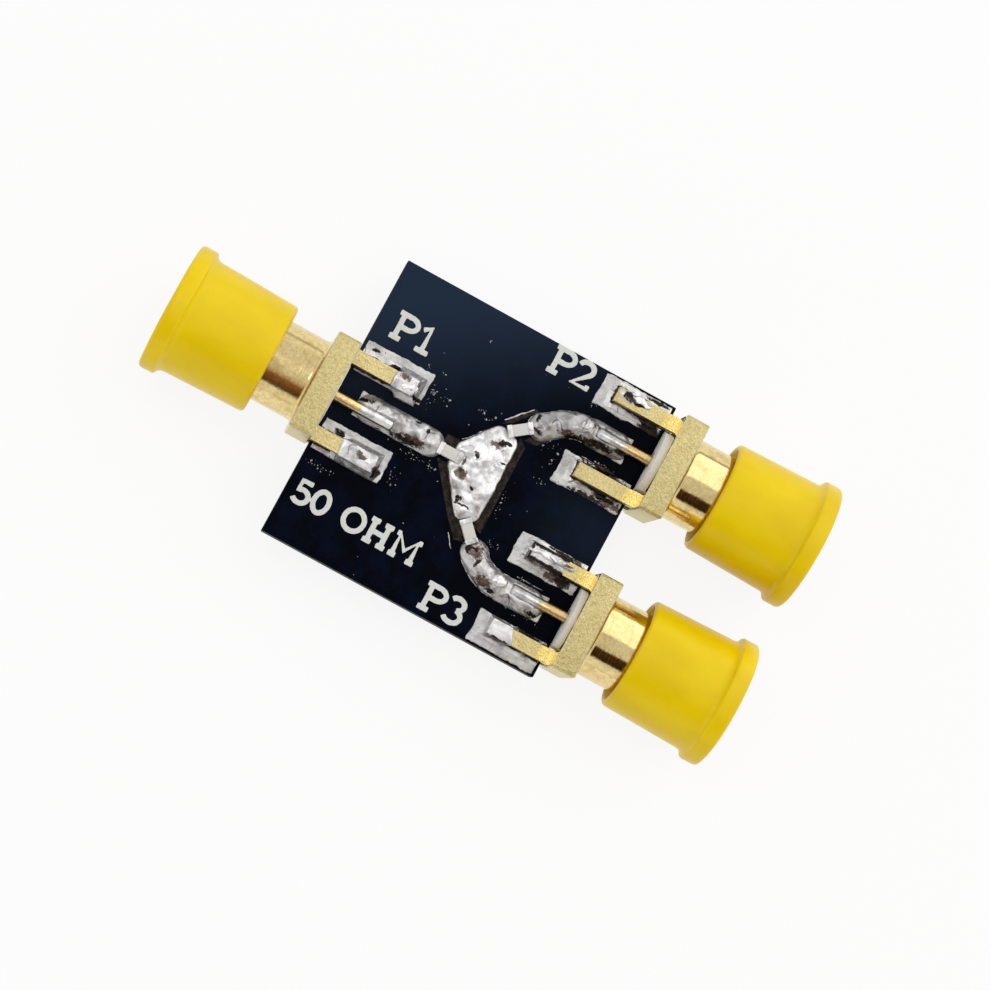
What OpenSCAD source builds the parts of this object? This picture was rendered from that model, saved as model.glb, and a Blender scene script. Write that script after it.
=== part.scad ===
// Resistive three-port power splitter. A square board carries a star of three chip resistors
// between edge-launch coaxial jacks, hand soldered to its edges, each under a push-on dust cap.
// The board lies flat, port 1 points to -X, ports 2 and 3 point to +X, and the caps' rims
// stand on the ground at z = 0 under the middle of the whole part.

/* [Board] */
// Length of the board, from port 1's edge to the edge of ports 2 and 3
board_l = 19; // [17:0.5:26]
// Width of the board
board_w = 19; // [18.5:0.5:26]
// Thickness of the board
board_t = 1.6; // [0.8:0.1:2.4]
// Thickness of the tinned copper pads and traces
copper_t = 0.08; // [0.04:0.01:0.15]

/* [Ports] */
// Distance between the footprints of ports 2 and 3
port_pitch = 11.15; // [10:0.05:12]
// Port 1's footprint, off the board's centreline
port_1_y = 0.2; // [-1:0.05:1]
// Jack 1, soldered off its footprint's centre
jack_1_shift = -0.3; // [-0.4:0.05:0.4]
// Jack 2, soldered off its footprint's centre
jack_2_shift = 0.15; // [-0.4:0.05:0.4]
// Jack 3, soldered off its footprint's centre
jack_3_shift = 0.25; // [-0.4:0.05:0.4]
// Gap between the board's edge and jack 1's flange
jack_1_gap = 0.1; // [0:0.05:0.6]
// Gap between the board's edge and jack 2's flange
jack_2_gap = 0.4; // [0:0.05:0.6]
// Gap between the board's edge and jack 3's flange
jack_3_gap = 0.3; // [0:0.05:0.6]

/* [Ground pads] */
// Length of a ground pad, square to the board's edge
pad_l = 4.65; // [3:0.05:5.5]
// Width of a ground pad
pad_w = 2.1; // [1.4:0.05:2.4]
// Distance between the middles of a port's two pads
pad_pitch = 5.46; // [5.2:0.02:5.8]
// Bare strip between a pad and the board's edge
pad_edge = 0.2; // [0:0.05:0.6]

/* [Jack body] */
// Width and height of the square flange
flange_w = 6.5; // [6.3:0.05:7.5]
// Thickness of the flange
flange_t = 1.55; // [1:0.05:2.5]
// Bevel on the flange's corners
flange_bevel = 0.18; // [0.05:0.01:0.4]
// Bevel along the flange's other edges and on the legs' ends
edge_bevel = 0.08; // [0.02:0.01:0.15]
// Diameter of the plain neck behind the thread
neck_d = 5.4; // [4.9:0.05:5.6]
// Length of the neck
neck_l = 2.9; // [1.5:0.1:4]
// Radius where the neck runs into the flange
neck_fillet = 0.3; // [0.1:0.05:0.45]
// Outer diameter of the coupling thread
thread_d = 6.35; // [6.1:0.05:6.4]
// Length of the coupling thread
thread_l = 5; // [4:0.1:7]
// Bevel at both ends of the thread
thread_bevel = 0.35; // [0.1:0.05:0.4]
// Bore that takes the plug's sleeve
mouth_d = 4.6; // [4.5:0.05:4.9]
// Depth of that bore, down to the reference plane
mouth_l = 1.9; // [1:0.1:2.5]

/* [Jack legs] */
// Length of a leg, from the back of the flange
leg_l = 4.2; // [3:0.1:4.6]
// Width of a leg
leg_w = 0.95; // [0.6:0.05:1.1]
// Thickness of a leg
leg_t = 0.9; // [0.5:0.05:1]
// Step in from the flange's side to a leg's outer face
leg_inset = 0.12; // [0:0.02:0.3]
// Length of the thicker root of a leg
leg_root_l = 0.9; // [0.3:0.1:1.5]
// Rise of a leg's back over that root
leg_root_rise = 0.17; // [0.05:0.01:0.25]

/* [Inner conductor] */
// Diameter of the insulator
insulator_d = 4.1; // [3.6:0.05:4.3]
// Diameter of the contact's socket
socket_d = 1.27; // [1.1:0.01:1.6]
// Bore of the socket
socket_bore_d = 0.92; // [0.8:0.02:1]
// Depth of the socket's bore
socket_bore_l = 3; // [2:0.1:4]
// Width of the slots between the socket's four fingers
socket_slot = 0.18; // [0.1:0.02:0.3]
// Depth of those slots
socket_slot_l = 2.2; // [1:0.1:2.8]
// Diameter of the tail pin that lies on the trace
pin_d = 0.7; // [0.5:0.05:0.9]
// Length of the tail pin, from the back of the flange
pin_l = 4.1; // [3:0.1:4.6]

/* [Dust caps] */
// Neck left bare between jack 1's flange and its cap
cap_1_stop = 2.8; // [1.5:0.1:3.5]
// Neck left bare between jack 2's flange and its cap
cap_2_stop = 2.5; // [1.5:0.1:3.5]
// Neck left bare between jack 3's flange and its cap
cap_3_stop = 2.6; // [1.5:0.1:3.5]
// Outer diameter of a cap at its mouth
cap_mouth_d = 7.25; // [7:0.05:8]
// Outer diameter of the tube where it meets the rim
cap_tube_d = 7.55; // [7.2:0.05:8]
// Outer diameter of the finger rim
cap_rim_d = 8.4; // [8.1:0.05:10]
// Length of the finger rim
cap_rim_l = 1.15; // [0.8:0.05:2]
// Thickness of the closed end
cap_end_t = 0.8; // [0.5:0.05:1.5]
// Room between the jack's mouth and the closed end, on the cap pushed furthest
cap_end_gap = 0.8; // [0.3:0.05:1.5]
// Radial clearance between a cap and the thread
cap_fit = 0.05; // [0.02:0.01:0.1]
// Round of the cap's mouth and of its rim
cap_round = 0.3; // [0.1:0.05:0.32]

/* [Star] */
// Reach of the junction pad towards port 1, to the centres of its blunt end's corners
junction_reach = 0.8; // [0.4:0.05:1.2]
// Rise of that blunt end over the board's middle
junction_rise = 0.73; // [0.3:0.01:1.1]
// Drop of that blunt end under the board's middle
junction_drop = 0.21; // [0.05:0.01:0.6]
// Reach of the junction pad towards ports 2 and 3, to the centres of its corners
junction_side = 1.22; // [0.8:0.02:1.6]
// Half the length of its side there
junction_half = 2.42; // [1.6:0.02:2.6]
// Corner of the junction pad beside chip 2, along the board
junction_2_x = 0.58; // [0.3:0.02:1]
// The same corner, towards port 2
junction_2_y = 2.6; // [2.4:0.02:3.1]
// Corner of the junction pad beside chip 3, along the board
junction_3_x = 0.8; // [0.4:0.02:1]
// The same corner, towards port 3
junction_3_y = 2.44; // [2.2:0.02:3]
// Radius of the junction pad's corners
junction_r = 0.6; // [0.3:0.05:0.8]
// Height of the solder heaped on the junction pad
junction_solder_h = 0.5; // [0.2:0.05:0.7]
// Width of a trace
trace_w = 1.7; // [1.2:0.05:1.9]
// Height of the solder run along a trace
trace_solder_h = 0.5; // [0.2:0.05:0.7]
// Width of the fuller solder on the bends of traces 2 and 3
bend_solder_w = 1.62; // [1.1:0.02:1.8]
// Height of the fuller solder on those bends
bend_solder_h = 0.58; // [0.25:0.01:0.8]
// Bend radius of the middle of traces 2 and 3
trace_bend_r = 3.2; // [1.5:0.1:4.5]
// Bare strip between a trace's end and the board's edge
trace_edge = 1.4; // [0.8:0.05:2]

/* [Chip resistors] */
// Length of a chip
chip_l = 1.6; // [1.4:0.05:2]
// Width of a chip
chip_w = 0.8; // [0.6:0.05:1.25]
// Height of a chip
chip_h = 0.45; // [0.3:0.05:0.6]
// Length of a chip's wrap-round terminal
terminal_l = 0.3; // [0.2:0.05:0.4]
// Thickness of the terminal's metal
terminal_t = 0.04; // [0.02:0.01:0.06]
// Middle of chip 1, from the board's middle towards port 1
chip_1_x = 1.6; // [1.4:0.05:2]
// Middle of chip 2, along the board
chip_2_x = 1.55; // [1.3:0.05:1.8]
// Middle of chip 2, towards port 2
chip_2_y = 3.55; // [3.3:0.05:3.9]
// Turn of chip 2 and of the trace that leaves it
chip_2_turn = 37; // [25:1:55]
// Middle of chip 3, along the board
chip_3_x = 1.7; // [1.4:0.05:2]
// Middle of chip 3, towards port 3
chip_3_y = 3.5; // [3.3:0.05:3.9]
// Turn of chip 3 and of the trace that leaves it
chip_3_turn = 46; // [25:1:55]

/* [Joints and seats] */
// Solder film between a metal part and the pad below it
film_t = 0.03; // [0.01:0.01:0.06]
// Radial room between parts that are pushed into one another
push_gap = 0.01; // [0.005:0.005:0.02]
// Width and height of the solder fillet round a leg
fillet_w = 0.45; // [0.2:0.05:0.7]

/* [Hidden] */
$fn = 64;

gold = [0.80, 0.66, 0.32];
ptfe = [0.93, 0.93, 0.92];
tin = [0.76, 0.76, 0.77];
solder = [0.84, 0.84, 0.85];
mask = [0.03, 0.04, 0.07];
alumina = [0.88, 0.88, 0.84];
cap_yellow = [0.93, 0.80, 0.08];

// Length by which cutting tools and joined solids run past a face
run_over = 0.2;

// What differs between the three ports, in their order
outward = [-1, 1, 1];
side = [1, 1, -1];
foot_y = [port_1_y, port_pitch / 2, -port_pitch / 2];
jack_shift = [jack_1_shift, jack_2_shift, jack_3_shift];
jack_gap = [jack_1_gap, jack_2_gap, jack_3_gap];
cap_stop = [cap_1_stop, cap_2_stop, cap_3_stop];
chip_x = [-chip_1_x, chip_2_x, chip_3_x];
chip_y = [port_1_y, chip_2_y, -chip_3_y];
chip_turn = [180, chip_2_turn, -chip_3_turn];

// Heights: the caps' rims stand on the ground, and a jack's pin lies on the board's top face
axis_z = cap_rim_d / 2;
seat_h = copper_t + film_t;
axis_over_board = seat_h + pin_d / 2;
board_top = axis_z - axis_over_board;
slot_h = board_t + 2 * seat_h;
slot_mid_z = -axis_over_board - board_t / 2;

barrel_l = neck_l + thread_l;
reference_x = flange_t + barrel_l - mouth_l;
leg_y = flange_w / 2 - leg_inset - leg_w / 2;
cap_bore_r = thread_d / 2 + cap_fit;
cap_l = barrel_l - min(cap_stop) + cap_end_gap + cap_end_t;

// The part's own middle, which goes to the origin
reach_x = [for (i = [0:2]) board_l / 2 + jack_gap[i] + flange_t + cap_stop[i] + cap_l];
jack_y = [for (i = [0:2]) foot_y[i] + jack_shift[i]];
x_mid = (max(reach_x[1], reach_x[2]) - reach_x[0]) / 2;
y_high = max(board_w / 2, max(jack_y) + cap_rim_d / 2);
y_low = min(-board_w / 2, min(jack_y) - cap_rim_d / 2);
home = [-x_mid, -(y_high + y_low) / 2, 0];

function arc(centre, r, from, to, steps = 6) =
    [for (k = [0:steps]) centre + r * [cos(from + (to - from) * k / steps), sin(from + (to - from) * k / steps)]];

// Radius of the circle whose segment has this width and height
function crown_r(w, h) = (w * w / 4 + h * h) / (2 * h);

module on_board() {
    translate(home + [0, 0, board_top]) children();
}

// Frame at a port's footprint: x points out of the board, z = 0 is the board's top face
module at_edge(i) {
    translate(home + [outward[i] * board_l / 2, foot_y[i], board_top])
        rotate([0, 0, outward[i] < 0 ? 180 : 0]) children();
}

// Frame at a jack: x points out along its axis, x = 0 is the back of its flange
module at_jack(i) {
    translate(home + [outward[i] * (board_l / 2 + jack_gap[i]), jack_y[i], axis_z])
        rotate([0, 0, outward[i] < 0 ? 180 : 0]) children();
}

module at_chip(i) {
    on_board() translate([chip_x[i], chip_y[i], seat_h]) rotate([0, 0, chip_turn[i]]) children();
}

// Repeats what is over the board in a jack's frame under the board
module both_faces() {
    translate([0, 0, slot_mid_z]) {
        children();
        mirror([0, 0, 1]) children();
    }
}

// Turns a profile drawn as [radius, length] about the jack's axis
module turned() {
    rotate([0, 90, 0]) rotate_extrude() children();
}

module board() {
    color(mask) on_board()
        translate([-board_l / 2, -board_w / 2, -board_t]) cube([board_l, board_w, board_t]);
}

junction_corners = [
    [-junction_reach, junction_rise],
    [-junction_reach, -junction_drop],
    [junction_3_x, -junction_3_y],
    [junction_side, -junction_half],
    [junction_side, junction_half],
    [junction_2_x, junction_2_y]
];

function edge_normal(a, b) = [b[1] - a[1], a[0] - b[0]] / norm(b - a);

// The junction's outline: a blunt triangle with round corners
module junction_outline(r) {
    last = len(junction_corners) - 1;
    polygon([for (k = [0:last]) each
        let (
            at = junction_corners[k],
            before = edge_normal(junction_corners[k == 0 ? last : k - 1], at),
            after = edge_normal(at, junction_corners[k == last ? 0 : k + 1]),
            from = atan2(before[1], before[0]),
            to = atan2(after[1], after[0])
        ) arc(at, r, from, to < from ? to + 360 : to)
    ]);
}

module junction_pad() {
    color(tin) on_board() linear_extrude(copper_t) junction_outline(junction_r);
}

// Solder heaped on the junction pad, crowned like a lens, with the chips standing in it
module junction_solder() {
    centre = [junction_side / 2, 0];
    reach = max([for (corner = junction_corners) norm(corner - centre)]) + 1.25 * junction_r;
    crown = crown_r(2 * reach, junction_solder_h);
    middle = [centre[0], centre[1], copper_t + junction_solder_h - crown];
    color(solder) difference() {
        on_board() intersection() {
            translate([0, 0, copper_t]) linear_extrude(2 * junction_solder_h) junction_outline(junction_r);
            translate(middle) sphere(crown, $fn = 128);
        }
        for (i = [0:2]) chip_space(i);
    }
}

// A straight run of a profile drawn as [across, up]
module straight(from, turn, length) {
    translate([from[0], from[1], 0]) rotate([0, 0, turn]) rotate([90, 0, 90]) linear_extrude(length) children();
}

// The route of a trace on the +Y side: off the chip at its turn, round a bend and out along the port.
// back is the distance from the chip's middle to the start, and stop the gap left at the board's edge.
// The first child is the section of the straight runs, and the last one that of the bend.
module route(i, back, stop) {
    end_x = board_l / 2 - stop;
    if (i == 0) {
        straight([chip_x[0] - back, chip_y[0]], 180, end_x + chip_x[0] - back) children(0);
    } else {
        turn = abs(chip_turn[i]);
        along = [cos(turn), sin(turn)];
        start = [chip_x[i], abs(chip_y[i])] + back * along;
        rise = abs(foot_y[i]) - start[1];
        bend_r = min(trace_bend_r, 0.9 * rise / (1 - cos(turn)));
        run = (rise - bend_r * (1 - cos(turn))) / sin(turn);
        bend_start = start + run * along;
        centre = bend_start + bend_r * [sin(turn), -cos(turn)];
        straight(start, turn, run) children(0);
        translate([centre[0], centre[1], 0]) rotate([0, 0, 90])
            rotate_extrude(angle = turn, $fn = 128) translate([bend_r, 0]) children($children - 1);
        straight([centre[0], abs(foot_y[i])], 0, end_x - centre[0]) children(0);
    }
}

// Distance from a chip's middle to the middle of its trace's round end, and that middle on the +Y side
trace_back = chip_l / 2 - terminal_l + trace_w / 2;
function chip_end(i) = [
    chip_x[i] + trace_back * cos(chip_turn[i]),
    side[i] * (chip_y[i] + trace_back * sin(chip_turn[i])),
    0
];

module route_side(i) {
    on_board() mirror([0, side[i] < 0 ? 1 : 0, 0]) children();
}

// Copper of a trace, square at the port and round where the chip's terminal stands on it
module trace(i) {
    color(tin) route_side(i) {
        route(i, trace_back, trace_edge) translate([-trace_w / 2, 0]) square([trace_w, copper_t]);
        translate(chip_end(i)) cylinder(r = trace_w / 2, h = copper_t);
    }
}

// Section of the solder run: the part of a circle that stands over the copper
module solder_section(w, h) {
    r = crown_r(w, h);
    intersection() {
        translate([0, h - r]) circle(r);
        translate([-w, 0]) square([2 * w, 2 * h]);
    }
}

module solder_end() {
    rotate_extrude() intersection() {
        solder_section(trace_w, trace_solder_h);
        square([trace_w, 2 * trace_solder_h]);
    }
}

// Solder run along a trace, round at both ends, wetted round the chip's terminal and the jack's pin
module trace_solder(i) {
    stop = trace_edge + trace_w / 2;
    port_end = [outward[i] * (board_l / 2 - stop), side[i] * foot_y[i], 0];
    color(solder) difference() {
        route_side(i) translate([0, 0, copper_t]) {
            route(i, trace_back, stop) {
                solder_section(trace_w, trace_solder_h);
                solder_section(bend_solder_w, bend_solder_h);
            }
            translate(chip_end(i)) solder_end();
            translate(port_end) solder_end();
        }
        chip_space(i);
        at_jack(i) pin_space();
    }
}

module pin_space() {
    translate([-pin_l - push_gap, 0, 0]) rotate([0, 90, 0]) cylinder(r = pin_d / 2 + push_gap, h = pin_l + run_over);
}

module chip_space(i) {
    size = [chip_l, chip_w] + 2 * [push_gap, push_gap];
    at_chip(i) translate([-size[0] / 2, -size[1] / 2, -film_t]) cube([size[0], size[1], 2 * chip_h]);
}

// Ceramic block of a chip, which its terminals wrap round
module chip_block() {
    translate([terminal_t - chip_l / 2, terminal_t - chip_w / 2, terminal_t])
        cube([chip_l - 2 * terminal_t, chip_w - 2 * terminal_t, chip_h - 2 * terminal_t]);
}

module chip(i) {
    color(alumina) at_chip(i) chip_block();
}

module chip_terminals(i) {
    color(tin) at_chip(i) difference() {
        for (x = [-chip_l / 2, chip_l / 2 - terminal_l])
            translate([x, -chip_w / 2, 0]) cube([terminal_l, chip_w, chip_h]);
        chip_block();
    }
}

// The two pads of a port as blocks of a given height, from the board's top face up
module pad_blocks(h) {
    for (s = [-1, 1])
        translate([-pad_edge - pad_l, s * pad_pitch / 2 - pad_w / 2, 0]) cube([pad_l, pad_w, h]);
}

module ground_pads(i) {
    color(tin) at_edge(i) {
        pad_blocks(copper_t);
        translate([0, 0, -board_t - copper_t]) pad_blocks(copper_t);
    }
}

// One leg on the +Z side of the slot, in the slot's frame: a bar with a thicker root
module leg(s) {
    translate([0, s * leg_y, slot_h / 2]) rotate([90, 0, 0]) linear_extrude(leg_w, center = true)
        polygon([
            [run_over, 0],
            [-leg_l, 0],
            [-leg_l, leg_t - edge_bevel],
            [edge_bevel - leg_l, leg_t],
            [-leg_root_l, leg_t],
            [0, leg_t + leg_root_rise],
            [run_over, leg_t + leg_root_rise]
        ]);
}

// Solder round one leg: hollow flanks along both sides and a hollow toe at its end
module leg_fillet(s) {
    hollow_r = 0.9 * fillet_w;
    length = leg_l + fillet_w;
    width = leg_w + 2 * fillet_w;
    difference() {
        translate([-length, s * leg_y - width / 2, slot_h / 2 - film_t]) cube([length, width, fillet_w + film_t]);
        translate([-leg_l, s * leg_y - leg_w / 2, slot_h / 2]) cube([length, leg_w, 2 * leg_t]);
        for (flank = [-1, 1])
            translate([run_over, s * leg_y + flank * width / 2, slot_h / 2 + fillet_w])
                rotate([0, -90, 0]) cylinder(r = hollow_r, h = length + 2 * run_over);
        translate([-length, s * leg_y, slot_h / 2 + fillet_w])
            rotate([90, 0, 0]) cylinder(r = hollow_r, h = 2 * width, center = true);
    }
}

// Solder on all four legs of a jack, held to the outline of their pads
module leg_solder(i) {
    depth = board_t / 2 + fillet_w + 2 * seat_h;
    color(solder) intersection() {
        at_jack(i) both_faces() for (s = [-1, 1]) leg_fillet(s);
        at_edge(i) translate([0, 0, -board_t / 2 - depth]) pad_blocks(2 * depth);
    }
}

// Rectangle with bevelled corners, from its half sizes
module bevelled(a, b, cut) {
    polygon([
        [-a, cut - b], [cut - a, -b], [a - cut, -b], [a, cut - b],
        [a, b - cut], [a - cut, b], [cut - a, b], [-a, b - cut]
    ]);
}

// Square flange, bevelled along every edge: what three crossing bars have in common
module flange() {
    half_w = flange_w / 2;
    half_t = flange_t / 2;
    translate([half_t, 0, 0]) intersection() {
        rotate([90, 0, 90]) linear_extrude(flange_t, center = true) bevelled(half_w, half_w, flange_bevel);
        rotate([90, 0, 0]) linear_extrude(flange_w, center = true) bevelled(half_t, half_w, edge_bevel);
        linear_extrude(flange_w, center = true) bevelled(half_t, half_w, edge_bevel);
    }
}

// Barrel as [radius, length]: fillet off the flange, plain neck, then the thread's full diameter
module barrel_profile() {
    neck_r = neck_d / 2;
    thread_r = thread_d / 2;
    rise = thread_r - neck_r;
    thread_x = flange_t + neck_l;
    end_x = flange_t + barrel_l;
    polygon(concat(
        [[0, flange_t - run_over], [neck_r + neck_fillet, flange_t - run_over]],
        arc([neck_r + neck_fillet, flange_t + neck_fillet], neck_fillet, 270, 180),
        [
            [neck_r, thread_x],
            [thread_r, thread_x + rise],
            [thread_r, end_x - thread_bevel],
            [thread_r - thread_bevel, end_x],
            [0, end_x]
        ]
    ));
}

// Stepped bore as [radius, length]: the insulator's seat, then the plug's bore with a lead-in
module bore_profile() {
    seat_r = insulator_d / 2 + push_gap;
    mouth_r = mouth_d / 2;
    lead = 0.15;
    end_x = flange_t + barrel_l;
    polygon([
        [0, -run_over], [seat_r, -run_over], [seat_r, reference_x], [mouth_r, reference_x],
        [mouth_r, end_x - lead], [mouth_r + lead + run_over, end_x + run_over], [0, end_x + run_over]
    ]);
}

// One turned and milled piece: flange, barrel and the four legs that grip the board's edge
module jack_body(i) {
    color(gold) at_jack(i) difference() {
        union() {
            flange();
            turned() barrel_profile();
            both_faces() for (s = [-1, 1]) leg(s);
        }
        turned() bore_profile();
    }
}

module jack_insulator(i) {
    color(ptfe) at_jack(i) turned() difference() {
        square([insulator_d / 2, reference_x]);
        translate([0, -run_over]) square([socket_d / 2 + push_gap, reference_x + 2 * run_over]);
    }
}

// Contact: a four-fingered socket inside the insulator, and a tail pin over the board
module jack_contact(i) {
    tip = pin_d / 6;
    color(gold) at_jack(i) difference() {
        turned() polygon([
            [0, -pin_l], [pin_d / 2 - tip, -pin_l], [pin_d / 2, tip - pin_l], [pin_d / 2, 0],
            [socket_d / 2, 0], [socket_d / 2, reference_x], [socket_bore_d / 2, reference_x],
            [socket_bore_d / 2, reference_x - socket_bore_l], [0, reference_x - socket_bore_l]
        ]);
        for (turn = [0, 90])
            rotate([turn, 0, 0]) translate([reference_x - socket_slot_l, -socket_d, -socket_slot / 2])
                cube([socket_slot_l + run_over, 2 * socket_d, socket_slot]);
    }
}

// Cap as [radius, length] from its mouth: tapered tube, soft shoulder, finger rim, closed end
module cap_profile() {
    mouth_r = cap_mouth_d / 2;
    tube_r = cap_tube_d / 2;
    rim_r = cap_rim_d / 2;
    step = rim_r - tube_r;
    shoulder_r = 0.6 * step;
    rim_x = cap_l - cap_rim_l;
    lead = 0.15;
    polygon(concat(
        [[cap_bore_r, lead], [cap_bore_r + lead, 0]],
        arc([mouth_r - cap_round, cap_round], cap_round, -90, 0),
        arc([tube_r + shoulder_r, rim_x - shoulder_r], shoulder_r, 180, 90),
        arc([rim_r - cap_round, rim_x + cap_round], cap_round, -60, 0),
        arc([rim_r - cap_round, cap_l - cap_round], cap_round, 0, 90),
        [[0, cap_l], [0, cap_l - cap_end_t], [cap_bore_r, cap_l - cap_end_t]]
    ));
}

module dust_cap(i) {
    color(cap_yellow) at_jack(i) translate([flange_t + cap_stop[i], 0, 0]) turned() cap_profile();
}

board();
junction_pad();
junction_solder();
trace(0);  // trace_1
trace(1);  // trace_2
trace(2);  // trace_3
trace_solder(0);  // trace_1_solder
trace_solder(1);  // trace_2_solder
trace_solder(2);  // trace_3_solder
chip(0);  // chip_1
chip(1);  // chip_2
chip(2);  // chip_3
chip_terminals(0);  // chip_1_terminals
chip_terminals(1);  // chip_2_terminals
chip_terminals(2);  // chip_3_terminals
ground_pads(0);  // port_1_ground_pads
ground_pads(1);  // port_2_ground_pads
ground_pads(2);  // port_3_ground_pads
leg_solder(0);  // port_1_leg_solder
leg_solder(1);  // port_2_leg_solder
leg_solder(2);  // port_3_leg_solder
jack_body(0);  // jack_1_body
jack_body(1);  // jack_2_body
jack_body(2);  // jack_3_body
jack_insulator(0);  // jack_1_insulator
jack_insulator(1);  // jack_2_insulator
jack_insulator(2);  // jack_3_insulator
jack_contact(0);  // jack_1_contact
jack_contact(1);  // jack_2_contact
jack_contact(2);  // jack_3_contact
dust_cap(0);  // dust_cap_1
dust_cap(1);  // dust_cap_2
dust_cap(2);  // dust_cap_3
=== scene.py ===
import math
import random
from functools import reduce

import bmesh
import bpy
from bpy.props import FloatProperty, FloatVectorProperty, IntProperty, PointerProperty, StringProperty
from mathutils import Matrix, Vector, noise


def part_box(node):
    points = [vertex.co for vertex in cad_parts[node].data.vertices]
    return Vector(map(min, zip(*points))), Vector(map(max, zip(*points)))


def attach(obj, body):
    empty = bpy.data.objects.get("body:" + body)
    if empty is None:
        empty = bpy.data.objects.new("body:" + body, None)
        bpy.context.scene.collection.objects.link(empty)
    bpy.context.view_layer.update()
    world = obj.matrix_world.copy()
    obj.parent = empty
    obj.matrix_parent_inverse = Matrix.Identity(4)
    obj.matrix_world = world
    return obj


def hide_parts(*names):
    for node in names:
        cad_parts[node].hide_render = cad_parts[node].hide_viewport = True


bl_info = {
    "name": "RF power splitter",
    "version": (1, 0, 0),
    "blender": (4, 5, 0),
    "location": "3D View > Sidebar > Splitter",
    "description": "Gives the packed power splitter its finishes, solder, print and stage",
    "category": "Object",
}

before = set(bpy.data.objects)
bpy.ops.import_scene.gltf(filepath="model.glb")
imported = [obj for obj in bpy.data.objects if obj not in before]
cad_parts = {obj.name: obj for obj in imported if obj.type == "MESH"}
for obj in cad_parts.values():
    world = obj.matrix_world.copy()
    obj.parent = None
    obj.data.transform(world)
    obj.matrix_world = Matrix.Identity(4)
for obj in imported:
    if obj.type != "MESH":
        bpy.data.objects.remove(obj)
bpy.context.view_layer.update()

MM = 0.001
PORTS = (1, 2, 3)
BOARD_LOW, BOARD_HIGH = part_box("board")
BOARD_MID = (BOARD_LOW + BOARD_HIGH) / 2
BOARD_TOP = BOARD_HIGH.z
# Height of the lacquer over the board's face, in millimetres
LACQUER_TOP = 0.022


def colour(name, description, default):
    return FloatVectorProperty(
        name=name, description=description, default=default, size=3, min=0.0, max=1.0, subtype="COLOR"
    )


def length(name, description, default_mm):
    return FloatProperty(
        name=name, description=description, default=default_mm * MM, min=0.0, precision=6,
        subtype="DISTANCE", unit="LENGTH",
    )


def power(name, description, default):
    return FloatProperty(name=name, description=description, default=default, min=0.0, unit="POWER")


def count(name, description, default, least):
    return IntProperty(name=name, description=description, default=default, min=least)


def direction(name, description, default):
    return FloatVectorProperty(name=name, description=description, default=default, size=3, subtype="XYZ")


class BoardLook(bpy.types.PropertyGroup):
    """The laminate and its dark lacquer"""

    mask: colour("Lacquer", "Dark lacquer over copper", (0.0013, 0.0032, 0.0115))
    # Painted sheen: a paler lacquer laid towards the corner by port 1, standing in for the light that the
    # glossy lacquer mirrors there
    painted_sheen: colour("Painted sheen", "Paler lacquer towards the corner by port 1", (0.020, 0.035, 0.066))
    bare: colour("Lacquer off copper", "Lacquer where no copper lies under it", (0.0005, 0.0010, 0.0031))
    laminate: colour("Laminate", "Bare laminate in the gaps round the star", (0.040, 0.024, 0.016))
    edge: length("Edge", "Rounding along the board's edges", 0.05)
    margin: length("Copper margin", "Lacquer step that shows where the copper ends near the edge", 0.25)
    step: length("Copper step", "Height of that step", 0.018)


class PrintLook(bpy.types.PropertyGroup):
    """White print on the board"""

    ink: colour("Ink", "White marking ink", (0.76, 0.78, 0.73))
    letter: length("Letter height", "Height of the port labels", 1.9)
    stroke: length("Stroke", "Width of a printed stroke", 0.34)
    film: length("Film", "Thickness of the ink", 0.03)
    marking: StringProperty(
        name="Marking", description="Impedance marking at the lower corner", default="50 OHM"
    )


class SolderLook(bpy.types.PropertyGroup):
    """Hand solder, tinned copper and flux"""

    metal: colour("Solder", "Bright solder", (0.88, 0.87, 0.86))
    tin: colour("Tin", "Tinned copper", (0.72, 0.71, 0.69))
    # Soot's colour also paints shade along the legs' outlines
    soot_and_shade: colour("Soot", "Black burnt flux", (0.012, 0.008, 0.006))
    # The amber colour also paints shade along the pins' lower flanks
    amber_and_shade: colour("Amber flux", "Red-brown flux", (0.115, 0.047, 0.024))
    crumb: colour("Crumbs", "Dry flux crumbs", (0.55, 0.54, 0.52))
    grain: length("Skin", "Size of the solder skin's faces", 0.042)
    lump: length("Lumps", "Height of the lumps in the solder", 0.075)


class ChipLook(bpy.types.PropertyGroup):
    """Chip resistors"""

    ceramic: colour("Ceramic", "Off-white alumina", (0.74, 0.725, 0.665))
    edge: length("Edge", "Rounding of a chip's edges", 0.035)


class JackLook(bpy.types.PropertyGroup):
    """Gold-plated jacks with their insulators and contacts"""

    plate: colour("Gold plate", "Gold plate on turned faces", (0.90, 0.71, 0.33))
    milled: colour("Milled plate", "Sandy gold plate on milled faces", (0.78, 0.655, 0.305))
    legs: colour("Leg plate", "Warmer gold plate on the legs", (0.90, 0.75, 0.36))
    roots: colour("Root plate", "Deep gold plate at the roots of the legs", (0.92, 0.70, 0.23))
    tail: colour("Tail plate", "Coppery plate on the pins", (0.96, 0.69, 0.33))
    # Partly wear, partly painted highlight: the chamfers are paler where they catch the light
    worn: colour("Edge wear and painted glint", "Paler plate along the flange's edges", (0.96, 0.87, 0.55))
    insulator: colour("Insulator", "White fluoropolymer", (0.95, 0.94, 0.92))
    edge: length("Edge", "Rounding of the flange's and legs' edges", 0.035)
    pitch: length("Thread pitch", "Advance of the coupling thread in one turn", 0.7056)
    root: length("Thread root", "Radius at the bottom of the thread", 2.76)
    crest: length("Thread crest", "Radius at the top of the thread", 3.165)
    facets: count("Thread facets", "Faces in one turn of the thread", 64, 12)


class CapLook(bpy.types.PropertyGroup):
    """Soft yellow dust caps"""

    plastic: colour("Plastic", "Yellow polyethylene", (0.90, 0.650, 0.0005))
    facets: count("Facets", "Faces round a cap", 128, 24)
    wobble: length("Wobble", "Unevenness of the moulding", 0.02)


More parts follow.
